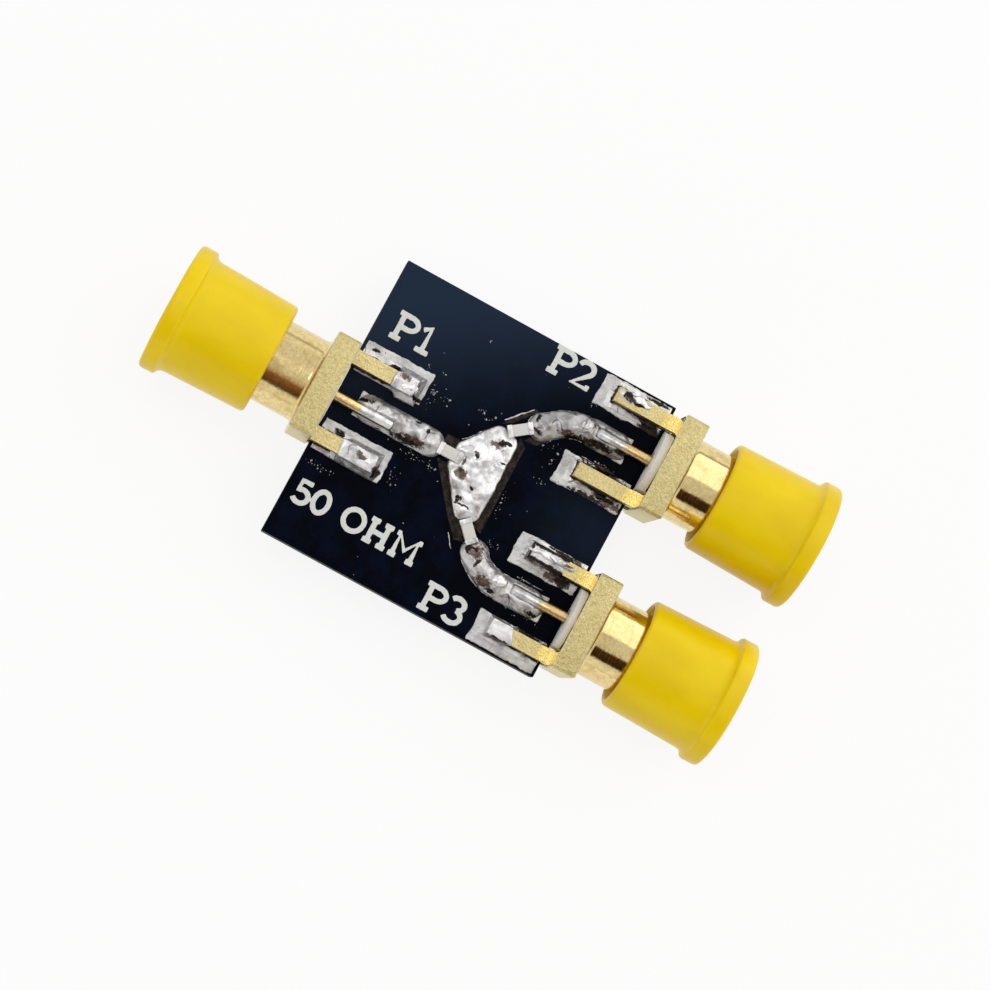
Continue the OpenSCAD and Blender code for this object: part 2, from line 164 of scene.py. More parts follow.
class StageLook(bpy.types.PropertyGroup):
    """Floor, light and camera"""

    floor: colour("Floor", "Pale floor", (0.94, 0.94, 0.94))
    key: power("Key light", "Power of the large soft light", 0.49)
    fill: power("Fill light", "Power of the weaker soft light", 0.07)
    sky: FloatProperty(
        name="Room", description="Strength of the light from the pale room", default=1.0, min=0.0
    )
    camera_at: FloatVectorProperty(
        name="Camera", description="Place of the camera", default=(-0.0127, -0.02077, 0.2), size=3,
        subtype="TRANSLATION", unit="LENGTH",
    )
    camera_forward: direction("Looks along", "Direction of view", (0.0748, 0.1004, -0.9921))
    camera_right: direction("Right", "Direction to the right in the picture", (0.8745, 0.4716, 0.1137))
    camera_angle: FloatProperty(
        name="Angle of view", description="Angle across the picture", default=math.radians(17.55),
        subtype="ANGLE", unit="ROTATION",
    )


class SplitterLook(bpy.types.PropertyGroup):
    """Everything that can be changed on the splitter"""

    board: PointerProperty(type=BoardLook, name="Board", description="Laminate and lacquer")
    print: PointerProperty(type=PrintLook, name="Print", description="White print")
    solder: PointerProperty(type=SolderLook, name="Solder", description="Solder, tin and flux")
    chips: PointerProperty(type=ChipLook, name="Chips", description="Chip resistors")
    jacks: PointerProperty(type=JackLook, name="Jacks", description="Coaxial jacks")
    caps: PointerProperty(type=CapLook, name="Caps", description="Dust caps")
    stage: PointerProperty(type=StageLook, name="Stage", description="Floor, light and camera")


def rgba(tone, part=1.0):
    """A tone, or a part of it, with its alpha."""
    return (*(part * c for c in tone), 1.0)


class Shade:
    """A shader socket that takes part in Python sums; each sum adds a Math node"""

    def __init__(self, tree, socket=None):
        self.tree = tree
        self.socket = socket

    def feed(self, target, value):
        if isinstance(value, Shade):
            self.tree.links.new(value.socket, target)
        else:
            target.default_value = value

    def node(self, kind, settings=None, sockets=None, output=0):
        """Adds a node: its settings first, then the values or links of its sockets."""
        made = self.tree.nodes.new("ShaderNode" + kind)
        for name, value in (settings or {}).items():
            setattr(made, name, value)
        for name, value in (sockets or {}).items():
            self.feed(made.inputs[name], value)
        return Shade(self.tree, made.outputs[output])

    def math(self, operation, *values):
        return self.node("Math", {"operation": operation}, dict(enumerate(values)))

    def __add__(self, other):
        return self.math("ADD", self, other)

    __radd__ = __add__

    def __sub__(self, other):
        return self.math("SUBTRACT", self, other)

    def __rsub__(self, other):
        return self.math("SUBTRACT", other, self)

    def __mul__(self, other):
        return self.math("MULTIPLY", self, other)

    __rmul__ = __mul__

    def __truediv__(self, other):
        return self.math("DIVIDE", self, other)

    def __rtruediv__(self, other):
        return self.math("DIVIDE", other, self)

    def __abs__(self):
        return self.math("ABSOLUTE", self)

    def most(self, other):
        return self.math("MAXIMUM", self, other)

    def rising(self, low, high):
        """0 below low, 1 above high, smooth between."""
        return self.node("MapRange", {"interpolation_type": "SMOOTHSTEP"}, {0: self, 1: low, 2: high})

    def tint(self, start, end):
        """Colour that goes from start to end as this value goes from 0 to 1."""
        return self.node("Mix", {"data_type": "RGBA"}, {0: self, 6: start, 7: end}, 2)

    def toned(self, low, high, tone, start, end=1.0):
        """From start to end times a tone, as this value goes from low to high."""
        return self.rising(low, high).tint(rgba(tone, start), rgba(tone, end))

    def axes(self):
        return tuple(self.node("SeparateXYZ", None, {0: self}, k) for k in range(3))

    def drifted(self, scale, reach):
        """x and y of this place, moved by smooth noise between nothing and reach."""
        drift = self.node("TexNoise", None, {"Vector": self, "Scale": scale, "Detail": 3.0}, 1)
        away = drift.stretched(reach, reach, 0.0)
        return self.node("VectorMath", {"operation": "ADD"}, {0: self, 1: away}).axes()[:2]

    def clouds(self, scale, detail=2.0, rough=0.5):
        """Smooth noise about scale times finer than a millimetre, on this place."""
        return self.node("TexNoise", None, {
            "Vector": self, "Scale": scale, "Detail": detail, "Roughness": rough,
        })

    def cells(self, scale):
        """Distance to the nearest of scattered points."""
        return self.node("TexVoronoi", None, {"Vector": self, "Scale": scale})

    def stretched(self, x, y, z):
        return self.node("VectorMath", {"operation": "MULTIPLY"}, {0: self, 1: (x, y, z)})

    def relief(self, depth_mm, strength=1.0):
        """Bump of this height, in millimetres."""
        return self.node("Bump", None, {"Strength": strength, "Distance": depth_mm * MM, "Height": self})


class Finish:
    """A material under way: its shader, and places on its piece in millimetres from the board's middle"""

    SOCKETS = {"colour": "Base Color", "rough": "Roughness", "metal": "Metallic", "normal": "Normal"}

    def __init__(self, name, fixed=None):
        self.material = bpy.data.materials.new(name)
        self.material.use_nodes = True
        tree = self.material.node_tree
        self.shader = tree.nodes["Principled BSDF"]
        for socket, value in (fixed or {}).items():
            self.shader.inputs[socket].default_value = value
        spot = Shade(tree).node("TexCoord", output=3)
        self.at = spot.node("Mapping", {"vector_type": "POINT"}, {
            0: spot,
            "Location": Vector((-BOARD_MID.x, -BOARD_MID.y, -BOARD_TOP)) / MM,
            "Scale": (1 / MM,) * 3,
        })

    def set(self, **sockets):
        for name, value in sockets.items():
            self.at.feed(self.shader.inputs[self.SOCKETS[name]], value)
        return self.material


# Burnt flux on the solder as blots (x, y, half length, half width) on the board, by the piece they lie on
SOOT = {
    "junction": (
        (0.2, -2.12, 0.2, 0.24), (1.0, 2.25, 0.3, 0.26), (0.0, 0.82, 0.16, 0.12),
        (1.35, 2.4, 0.3, 0.14), (0.65, -1.08, 0.13, 0.09), (1.52, 1.12, 0.24, 0.08),
        (0.7, -2.3, 0.4, 0.07),
    ),
    "trace_1": (
        (-4.2, 1.05, 0.24, 0.2), (-3.4, 0.75, 0.15, 0.22), (-7.7, 0.55, 0.6, 0.14),
        (-4.4, -0.45, 1.0, 0.18),
    ),
    "trace_2": (
        (2.5, 4.0, 0.4, 0.15), (5.0, 4.75, 0.9, 0.2), (6.3, 5.05, 0.9, 0.24), (7.6, 5.3, 0.45, 0.17),
        (2.2, 4.75, 0.12, 0.28),
    ),
    "trace_3": (
        (2.6, -4.25, 0.22, 0.15), (3.05, -5.0, 0.14, 0.3), (4.5, -6.15, 0.5, 0.14),
        (7.6, -6.2, 0.45, 0.16), (2.2, -4.4, 0.16, 0.34),
    ),
    "drops": (
        (6.4, 8.6, 0.32, 0.26), (7.4, -2.95, 1.2, 0.08), (-6.4, 2.8, 0.3, 0.15),
        (7.35, 8.35, 0.3, 0.14),
    ),
    "port_1": (
        (-8.1, -1.95, 0.4, 0.3), (-6.9, 3.15, 0.5, 0.15), (-5.0, 2.1, 0.35, 0.16),
        (-5.1, -3.1, 0.25, 0.45), (-8.6, 3.6, 0.2, 0.12),
    ),
    "port_2": (
        (7.3, 3.72, 1.6, 0.45), (8.8, 7.45, 0.95, 0.45), (7.2, 1.9, 1.2, 0.25), (7.4, 2.5, 0.9, 0.12),
        (8.3, 9.2, 0.8, 0.14),
    ),
    "port_3": (
        (8.25, -3.5, 0.55, 0.34), (7.0, -3.12, 1.5, 0.12), (7.6, -1.95, 1.0, 0.16),
        (8.0, -7.35, 1.1, 0.22), (6.4, -8.55, 0.9, 0.1),
    ),
}
AMBER = {
    "junction": (
        (-0.47, -0.62, 0.36, 0.34), (0.7, 2.0, 0.45, 0.28), (-0.66, 0.15, 0.1, 0.32),
        (-0.05, 0.95, 0.28, 0.14),
    ),
    "trace_1": (
        (-4.0, -0.25, 0.8, 0.24),
    ),
    "trace_2": (
        (4.3, 4.7, 0.6, 0.24), (5.6, 4.9, 0.7, 0.24),
    ),
    "trace_3": (
        (3.9, -5.85, 0.6, 0.36), (2.7, -4.4, 0.45, 0.5), (2.3, -3.9, 0.3, 0.25),
    ),
    "drops": (
        (6.7, 8.4, 0.5, 0.16), (8.1, -2.5, 0.4, 0.1), (-6.2, -2.6, 0.35, 0.24),
    ),
    "port_1": (
        (-6.2, 2.95, 0.4, 0.24), (-6.4, -2.6, 0.35, 0.24),
    ),
    "port_2": (
        (8.6, 2.2, 0.8, 0.32), (7.8, 2.4, 0.6, 0.24), (6.2, 8.85, 0.3, 0.15),
    ),
    "port_3": (
        (7.55, -3.5, 0.5, 0.3), (8.5, -1.95, 0.5, 0.24),
    ),
}
# How far noise moves the blots and the painted shade along the legs' outlines, in millimetres
BLOT_DRIFT = 0.5
OUTLINE_DRIFT = 0.24


def deposits(at, places):
    """1 inside each blot, with torn edges."""
    torn = at.clouds(4.5, 5.0, 0.7) - 0.5
    x, y = at.drifted(1.2, BLOT_DRIFT)
    blots = []
    for px, py, half_length, half_width in places:
        dx = (x - (px + BLOT_DRIFT / 2)) / half_length
        dy = (y - (py + BLOT_DRIFT / 2)) / half_width
        blots.append(1.0 - (dx * dx + dy * dy + torn * 5.0).rising(0.55, 1.35))
    return reduce(Shade.most, blots)


def lacquer(look):
    made = Finish("board_lacquer", {"Specular IOR Level": 0.03})
    x, y, _ = made.at.axes()
    mottle = made.at.clouds(0.55, 4.0, 0.6)
    grain = made.at.clouds(7.0, 3.0, 0.6)
    # No copper lies under the bands beside the pins and traces, which look blacker
    right_band = (x.rising(1.2, 2.6)) * (1.0 - abs(abs(y) - 5.6).rising(1.3, 2.4))
    left_band = (1.0 - x.rising(-3.6, -1.0)) * (1.0 - abs(y - 0.1).rising(0.9, 1.9))
    bare = right_band.most(left_band).most(mottle.rising(0.36, 0.62))
    tone = (bare + (grain.rising(0.3, 0.7) - 0.5) * 0.5).tint(rgba(look.mask), rgba(look.bare))
    # Painted sheen: the lacquer turns paler towards the upper-left corner by port 1 and along the middle of
    # the right-hand side, where it mirrors the light
    painted_sheen = (y * 0.6 - x * 0.4).rising(1.0, 8.0) * 0.75
    painted_sheen = painted_sheen.most(x.rising(3.0, 8.5) * (1.0 - abs(y).rising(0.8, 3.2)) * 0.3)
    tone = painted_sheen.tint(tone, rgba(look.painted_sheen))
    dust = (made.at.cells(2.1).rising(0.0, 0.11) * -1.0 + 1.0) * grain.rising(0.55, 0.7) * 0.25
    return made.set(
        colour=dust.tint(tone, (0.10, 0.11, 0.13, 1.0)),
        rough=grain * 0.16 + mottle * 0.1 + 0.14,
        normal=(grain * 0.4 + made.at.clouds(2.2, 2.0)).relief(0.012),
    )


def cut_laminate(look):
    made = Finish("cut_laminate", {"Specular IOR Level": 0.3})
    weave = made.at.stretched(1.0, 1.0, 9.0).clouds(3.0, 3.0)
    return made.set(
        colour=weave.toned(0.35, 0.7, look.laminate, 0.30, 0.9),
        rough=weave * 0.3 + 0.5,
        normal=weave.relief(0.02),
    )


def bare_laminate(look):
    made = Finish("bare_laminate", {"Specular IOR Level": 0.15})
    stain = made.at.clouds(2.6, 6.0, 0.72)
    return made.set(
        colour=stain.toned(0.40, 0.60, look.laminate, 1.0, 0.08),
        rough=stain * 0.35 + 0.25,
        normal=made.at.clouds(9.0, 3.0).relief(0.02),
    )


def marking_ink(look):
    made = Finish("marking_ink", {"Specular IOR Level": 0.3})
    grain = made.at.clouds(8.0, 3.0, 0.6)
    return made.set(
        colour=grain.toned(0.25, 0.75, look.ink, 0.86),
        rough=grain * 0.2 + 0.45,
        normal=grain.relief(0.01),
    )


def leg_shade_outlines(at, legs):
    """Painted shade: 1 along the outline of each leg given as (middle x, middle y, half length, half width),
    where the leg stands on the solder.
    """
    ragged = at.clouds(2.0, 4.0, 0.65) * 0.3 - 0.08
    x, y = at.drifted(1.6, OUTLINE_DRIFT)
    lines = []
    for px, py, half_length, half_width in legs:
        past_end = abs(x - (px + OUTLINE_DRIFT / 2)) - half_length
        past_side = abs(y - (py + OUTLINE_DRIFT / 2)) - half_width
        lines.append(1.0 - (abs(past_end.most(past_side)) - ragged).rising(0.0, 0.09))
    return reduce(Shade.most, lines)


def fouled(made, look, metal, seams, area, legs=()):
    """A metal's tone under its seams, soot and amber flux, and under painted shade along the legs' outlines.
    """
    soot_and_shade = seams
    if area:
        soot_and_shade = soot_and_shade.most(deposits(made.at, SOOT[area]))
    # Painted shade: a dark band along each leg's outline, in the soot's colour
    if legs:
        soot_and_shade = soot_and_shade.most(leg_shade_outlines(made.at, legs))
    amber = made.at.clouds(1.9, 4.0, 0.65).rising(0.66, 0.76) * 0.6
    if area:
        amber = amber.most(deposits(made.at, AMBER[area]))
    worn = made.at.clouds(5.0, 3.0, 0.6).rising(0.35, 0.65)
    glaze = worn.tint(rgba(look.amber_and_shade), rgba(look.amber_and_shade, 0.35))
    crust_and_shade = worn.tint(rgba(look.soot_and_shade), rgba(look.soot_and_shade, 2.0))
    return soot_and_shade.tint((amber * 0.9).tint(metal, glaze), crust_and_shade)


def bright_solder(look, name, shine, area=None, legs=()):
    made = Finish(name, {"Metallic": 0.75})
    pool = made.at.clouds(1.2, 3.0, 0.6)
    grain = made.at.clouds(9.0, 3.0, 0.6)
    lines = 1.0 - abs(made.at.clouds(0.5, 1.5) - 0.5).rising(0.002, 0.014)
    seams = lines * made.at.clouds(0.55, 1.0).rising(0.50, 0.58) * 0.8
    tone = pool.toned(0.3, 0.68, look.metal, 0.55 * shine, shine)
    return made.set(
        colour=fouled(made, look, tone, seams, area, legs),
        rough=pool.rising(0.3, 0.7) * 0.12 + grain * 0.16 + 0.18,
        normal=(grain * 0.35 + made.at.clouds(3.0, 2.0)).relief(0.022),
    )


def burnt_flux(look):
    made = Finish("burnt_flux", {"Specular IOR Level": 0.25, "Coat Weight": 0.1, "Coat Roughness": 0.08})
    thin = made.at.clouds(2.2, 3.0, 0.6)
    return made.set(
        colour=thin.rising(0.52, 0.78).tint(rgba(look.soot_and_shade, 0.5), rgba(look.amber_and_shade)),
        rough=thin * 0.3 + 0.15,
        normal=made.at.clouds(6.0, 3.0).relief(0.03),
    )


def dull_tin(look, name, area=None):
    made = Finish(name, {"Metallic": 0.65})
    pool = made.at.clouds(1.1, 3.0, 0.6)
    grain = made.at.clouds(9.0, 4.0, 0.65)
    specks = (1.0 - made.at.cells(3.2).rising(0.06, 0.16)) * pool.rising(0.50, 0.6)
    tone = pool.toned(0.3, 0.7, look.tin, 0.62)
    return made.set(
        colour=fouled(made, look, tone, specks, area),
        rough=grain * 0.25 + 0.28,
        normal=(grain + made.at.clouds(3.0, 2.0)).relief(0.03),
    )


def dry_flux(look):
    made = Finish("dry_flux", {"Specular IOR Level": 0.4})
    grain = made.at.clouds(6.0, 2.0)
    return made.set(
        colour=grain.toned(0.35, 0.65, look.crumb, 0.35),
        rough=grain * 0.3 + 0.25,
        normal=grain.relief(0.02),
    )


def chip_ceramic(look):
    made = Finish("chip_ceramic", {"Specular IOR Level": 0.35})
    grain = made.at.clouds(12.0, 3.0, 0.6)
    soil = made.at.clouds(2.0, 3.0).rising(0.55, 0.8) * 0.25
    return made.set(
        colour=soil.tint(grain.toned(0.2, 0.8, look.ceramic, 0.9), (0.30, 0.27, 0.20, 1.0)),
        rough=grain * 0.2 + 0.45,
        normal=grain.relief(0.008),
    )


def milled_gold(name, tone, rough=0.25, depth=0.045):
    made = Finish(name)
    grain = made.at.clouds(8.0, 4.0, 0.7)
    tarnish = made.at.clouds(1.2, 4.0, 0.6)
    deep = (1.0 - made.at.cells(5.0).rising(0.05, 0.3)) * 0.5
    sandy = grain.toned(0.3, 0.7, tone, 0.62)
    return made.set(
        colour=(tarnish.rising(0.55, 0.75) * 0.35).tint(sandy, (0.48, 0.33, 0.10, 1.0)),
        rough=grain * 0.22 + rough,
        metal=1.0 - deep * 0.1,
        normal=(grain + made.at.clouds(5.0, 3.0) * 0.7).relief(depth),
    )


def turned_gold(look):
    made = Finish("turned_gold")
    dull = 1.0 - made.at.axes()[0].rising(-3.0, 3.0)
    rings = made.at.stretched(1.0, 0.03, 0.03).clouds(9.0, 4.0, 0.7)
    grain = made.at.clouds(4.0, 5.0, 0.7)
    stain = made.at.clouds(1.3, 4.0, 0.65).rising(0.48, 0.68) * 0.55
    plate = grain.toned(0.35, 0.65, look.plate, 1.0, 0.78)
    return made.set(
        colour=stain.tint(plate, (0.60, 0.41, 0.14, 1.0)),
        rough=rings * 0.05 + grain * 0.06 + dull * 0.06 + 0.01,
        metal=1.0,
        normal=(rings * 0.8 + grain).relief(0.006),
    )


def pin_gold(look, solder):
    """Gold at a pin's root, tinned where the solder wetted it, with painted shade in the flux's red-brown
    along its lower flanks.
    """
    made = Finish("pin_gold", {"Metallic": 1.0})
    x, _, up = made.at.axes()
    ragged = made.at.clouds(2.0, 3.0)
    tinned = 1.0 - (abs(x) + (ragged - 0.5) * 1.2).rising(7.5, 8.1)
    grain = made.at.clouds(9.0, 3.0)
    # Painted shade: red-brown on the pin's flanks below its crest, inside the board's edges
    flank_shade = (1.0 - (up + (ragged - 0.5) * 0.5).rising(0.52, 0.68)) * (1.0 - abs(x).rising(9.0, 9.7))
    gold = grain.toned(0.3, 0.7, look.tail, 1.0, 0.7)
    tin = ragged.toned(0.35, 0.65, solder.metal, 1.0, 0.6)
    return made.set(
        colour=(flank_shade * 0.85).tint(tinned.tint(gold, tin), rgba(solder.amber_and_shade)),
        rough=grain * 0.15 + 0.24,
        normal=(grain + ragged).relief(0.012),
    )


def white_insulator(look):
    made = Finish("white_insulator", {
        "Specular IOR Level": 0.3, "Subsurface Weight": 0.15, "Subsurface Scale": 0.4 * MM,
    })
    grain = made.at.clouds(5.0, 3.0)
    return made.set(
        colour=grain.toned(0.3, 0.7, look.insulator, 0.92),
        rough=grain * 0.15 + 0.4,
        normal=grain.relief(0.01),
    )


def cap_plastic(look):
    made = Finish("cap_plastic", {
        "Specular IOR Level": 0.25, "Subsurface Weight": 0.12, "Subsurface Scale": 0.5 * MM,
    })
    flow = made.at.stretched(0.5, 1.0, 1.0).clouds(0.35, 3.0, 0.5)
    grain = made.at.clouds(4.5, 3.0, 0.6)
    deep = rgba([0.90 * look.plastic[0], 0.86 * look.plastic[1], 0.6 * look.plastic[2]])
    return made.set(
        colour=flow.rising(0.3, 0.7).tint(rgba(look.plastic), deep),
        rough=flow * 0.10 + grain * 0.06 + 0.22,
        normal=(grain * 0.5 + flow).relief(0.03),
    )


def on_board(x, y, up=0.0):
    """A point over the board, in millimetres from the middle of its top face."""
    return Vector((BOARD_MID.x + x * MM, BOARD_MID.y + y * MM, BOARD_TOP + up * MM))


def middle_of(node):
    low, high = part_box(node)
    return (low + high) / 2


def ease(value, low, high):
    """0 below low, 1 above high, smooth between."""
    part = min(1.0, max(0.0, (value - low) / (high - low)))
    return part * part * (3 - 2 * part)


def over_board(co):
    """Height over the nearer face of the board, in millimetres."""
    return max(co.z - BOARD_TOP, BOARD_LOW.z - co.z) / MM


def node_copy(name):
    """A CAD node's mesh, with its loose triangles merged."""
    bm = bmesh.new()
    bm.from_mesh(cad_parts[name].data)
    bmesh.ops.remove_doubles(bm, verts=bm.verts, dist=2e-4 * MM)
    return bm


def flat_faces(bm):
    """Joins the triangles of each flat face."""
    bmesh.ops.dissolve_limit(bm, angle_limit=math.radians(0.6), verts=bm.verts, edges=bm.edges)


def rounded(bm, edges, width, segments=2):
    bmesh.ops.bevel(
        bm, geom=list(edges), offset=width, offset_type="OFFSET", segments=segments, profile=0.5,
        affect="EDGES", clamp_overlap=True, material=-1,
    )


def sharp_edges(bm, degrees=25.0):
    limit = math.radians(degrees)
    convex = [e for e in bm.edges if len(e.link_faces) == 2 and e.is_convex]
    return [e for e in convex if e.calc_face_angle(0.0) > limit]


def linked(name, data):
    """A new object in the scene."""
    made = bpy.data.objects.new(name, data)
    bpy.context.scene.collection.objects.link(made)
    return made


def filled_from(bm, blank):
    """Fills a bmesh with what an object shows, and removes the object."""
    shown = blank.evaluated_get(bpy.context.evaluated_depsgraph_get())
    bm.clear()
    bm.from_mesh(shown.to_mesh())
    shown.to_mesh_clear()
    bpy.data.objects.remove(blank)


def sliced(bm, x, way=1.0, trim=False):
    """Cuts a shape across at x; with trim, what lies further that way goes."""
    bmesh.ops.bisect_plane(
        bm, geom=[*bm.verts, *bm.edges, *bm.faces], dist=1e-8, plane_co=(x, 0, 0), plane_no=(way, 0, 0),
        clear_outer=trim,
    )


def evened(bm, size):
    """Rebuilds a closed shape as an even skin of small quads."""
    bmesh.ops.scale(bm, vec=(1 / MM,) * 3, verts=bm.verts)
    mesh = bpy.data.meshes.new("blank")
    bm.to_mesh(mesh)
    blank = linked("blank", mesh)
    skin = blank.modifiers.new("skin", "REMESH")
    skin.mode = "VOXEL"
    skin.voxel_size = size / MM
    filled_from(bm, blank)
    bpy.data.meshes.remove(mesh)
    bmesh.ops.scale(bm, vec=(MM,) * 3, verts=bm.verts)


def relaxed(bm, rounds):
    for _ in range(rounds):
        bmesh.ops.smooth_vert(
            bm, verts=bm.verts, factor=0.5, use_axis_x=True, use_axis_y=True, use_axis_z=True
        )


def moved(bm, moves):
    for v, move in zip(bm.verts, moves):
        v.co += move


def ruffled(bm, height, size_mm, seed, rooted=lambda co: 1.0):
    """Moves the skin in and out by smooth noise, by rooted's share of height."""
    bm.normal_update()
    start = Vector((3.7 * seed, -5.1 * seed, 2.3 * seed))
    moved(bm, [
        v.normal * height * rooted(v.co) * noise.noise(v.co / (MM * size_mm) + start) for v in bm.verts
    ])


def swollen(bm, amount, seed):
    """Grows the skin outwards, unevenly."""
    bm.normal_update()
    start = Vector((1.9 * seed, 4.3 * seed, -2.9 * seed))
    moved(bm, [v.normal * amount * (1.0 + 0.8 * noise.noise(v.co / (0.7 * MM) + start)) for v in bm.verts])


def frayed(bm, amount, seed):
    """Moves the skin sideways only, so that straight outlines turn ragged."""
    bm.normal_update()
    start = Vector((2.9 * seed, 1.3 * seed, 0.7 * seed))
    moves = []
    for v in bm.verts:
        wave = noise.noise(v.co / (0.8 * MM) + start) + 0.5 * noise.noise(v.co / (0.25 * MM) + start)
        moves.append(Vector((v.normal.x, v.normal.y, 0.0)) * amount * wave)
    moved(bm, moves)


def heaped(bm, lumps):
    """Raises (or with a negative height sinks) the skin over the board at each (x, y, radius, height)."""
    for x, y, radius, height in lumps:
        spot = on_board(x, y)
        for v in bm.verts:
            away = (v.co.xy - spot.xy).length / (radius * MM)
            if away < 2.2 and v.co.z > BOARD_TOP:
                v.co.z += height * MM * math.exp(-away * away) * ease(over_board(v.co), 0.08, 0.3)


def settled(bm, name, materials, replaced=(), body="splitter", crease=38.0):
    """Makes a finished piece of a bmesh, which rides on a body."""
    mesh = bpy.data.meshes.new(name)
    bm.to_mesh(mesh)
    bm.free()
    for material in materials:
        mesh.materials.append(material)
    mesh.shade_smooth()
    mesh.set_sharp_from_angle(angle=math.radians(crease))
    piece = linked(name, mesh)
    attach(piece, body)
    if replaced:
        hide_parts(*replaced)
    return piece


def painted(node, material):
    """Gives a CAD node, whose shape stays, its finish."""
    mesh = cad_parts[node].data
    mesh.materials.clear()
    mesh.materials.append(material)


def pebble(bm, rounds, spot, reach, turn=Matrix()):
    """A ball stretched to (x, y, z) reaches in millimetres."""
    shape = Matrix.Diagonal((*(r * MM for r in reach), 1.0))
    bmesh.ops.create_icosphere(
        bm, subdivisions=rounds, radius=1.0, matrix=Matrix.Translation(spot) @ turn @ shape
    )


def block(bm, low, high):
    """A box between two corners; gives its vertices."""
    size = high - low
    place = Matrix.Translation((low + high) / 2) @ Matrix.Diagonal((*size, 1.0))
    return bmesh.ops.create_cube(bm, size=1.0, matrix=place)["verts"]


class SPLITTER_OT_board(bpy.types.Operator):
    """Lacquered board with the copper's margin showing, and bare laminate round the star"""

    bl_idname = "splitter.board"
    bl_label = "Board"

    # Strips of bare laminate round the star, as corners on the board
    STRIPS = (
        ((1.82, 3.15), (1.82, -3.05), (2.42, -3.25), (2.36, 2.75)),
        ((-2.15, -0.38), (-1.35, -0.38), (0.75, -2.95), (1.2, -3.3), (1.75, -4.2), (1.15, -4.35),
         (0.15, -3.3)),
        ((-2.3, 0.55), (-1.25, 0.6), (-1.1, 1.25), (-2.25, 1.2)),
        ((0.35, 3.35), (0.95, 3.75), (1.75, 4.75), (2.15, 5.05), (1.85, 5.2), (1.3, 4.65)),
        ((2.1, 3.1), (2.9, 3.2), (3.6, 3.95), (2.9, 3.95), (2.3, 3.45)),
    )
    STRIP_HEIGHT = 0.03

    def execute(self, context):
        look = context.scene.splitter.board
        bm = bmesh.new()
        block(bm, BOARD_LOW, BOARD_HIGH)
        bm.normal_update()
        for way in (1.0, -1.0):
            face = max(bm.faces, key=lambda f: f.normal.z * way * f.calc_area())
            bmesh.ops.inset_region(bm, faces=[face], thickness=look.margin, use_even_offset=True)
            bmesh.ops.inset_region(
                bm, faces=[face], thickness=2.5 * look.step, depth=look.step, use_even_offset=True
            )
        rounded(bm, sharp_edges(bm, 60.0), look.edge)
        bm.normal_update()
        for face in bm.faces:
            face.material_index = 1 if abs(face.normal.z) < 0.5 else 0
        finishes = (lacquer(look), cut_laminate(look))
        settled(bm, "board_panel", finishes, ("board",), crease=12.0)

        bm = bmesh.new()
        for corners in self.STRIPS:
            outline = [bm.verts.new(on_board(x, y, 0.0)) for x, y in corners]
            bm.faces.new(outline)
        bmesh.ops.recalc_face_normals(bm, faces=bm.faces)
        grown = bmesh.ops.extrude_face_region(bm, geom=list(bm.faces))["geom"]
        tops = [v for v in grown if isinstance(v, bmesh.types.BMVert)]
        bmesh.ops.translate(bm, vec=(0, 0, self.STRIP_HEIGHT * MM), verts=tops)
        bmesh.ops.recalc_face_normals(bm, faces=bm.faces)
        settled(bm, "bare_strips", (bare_laminate(look),))
        return {"FINISHED"}


def bow(cx, cy, rx, ry, start, end, steps=14):
    """Points on part of an ellipse, from one angle to another."""
    turn = [math.radians(start + (end - start) * k / steps) for k in range(steps + 1)]
    return [(cx + rx * math.cos(a), cy + ry * math.sin(a)) for a in turn]


# Strokes of slab-serif characters one unit tall, with their widths
STROKES = {
    "P": (0.80, [[(0.16, 0), (0.16, 1)], [(0.0, 0), (0.36, 0)],
                 [(0.0, 1), (0.42, 1)] + bow(0.42, 0.74, 0.27, 0.26, 90, -90) + [(0.16, 0.48)]]),
    "1": (0.60, [[(0.08, 0.80), (0.30, 1), (0.30, 0)], [(0.08, 0), (0.52, 0)]]),
    "2": (0.70, [bow(0.31, 0.73, 0.25, 0.27, 165, -35) + [(0.06, 0.0), (0.58, 0.0), (0.58, 0.16)]]),
    "3": (0.70, [bow(0.29, 0.76, 0.23, 0.24, 150, -80), bow(0.29, 0.26, 0.27, 0.27, 80, -155)]),
    "5": (0.70, [[(0.52, 1), (0.14, 1), (0.11, 0.55)] + bow(0.29, 0.31, 0.27, 0.31, 120, -150)]),
    "0": (0.72, [bow(0.31, 0.5, 0.26, 0.5, 0, 360, 28)]),
    "O": (0.92, [bow(0.40, 0.5, 0.36, 0.5, 0, 360, 28)]),
    "H": (0.98, [[(0.16, 0), (0.16, 1)], [(0.68, 0), (0.68, 1)], [(0.16, 0.5), (0.68, 0.5)],
                 [(0.0, 1), (0.32, 1)], [(0.0, 0), (0.32, 0)],
                 [(0.52, 1), (0.84, 1)], [(0.52, 0), (0.84, 0)]]),
    "M": (1.12, [[(0.14, 0), (0.14, 1), (0.48, 0.36), (0.82, 1), (0.82, 0)], [(0.0, 1), (0.14, 1)],
                 [(0.82, 1), (0.96, 1)], [(0.0, 0), (0.28, 0)], [(0.68, 0), (0.96, 0)]]),
    " ": (0.45, []),
}


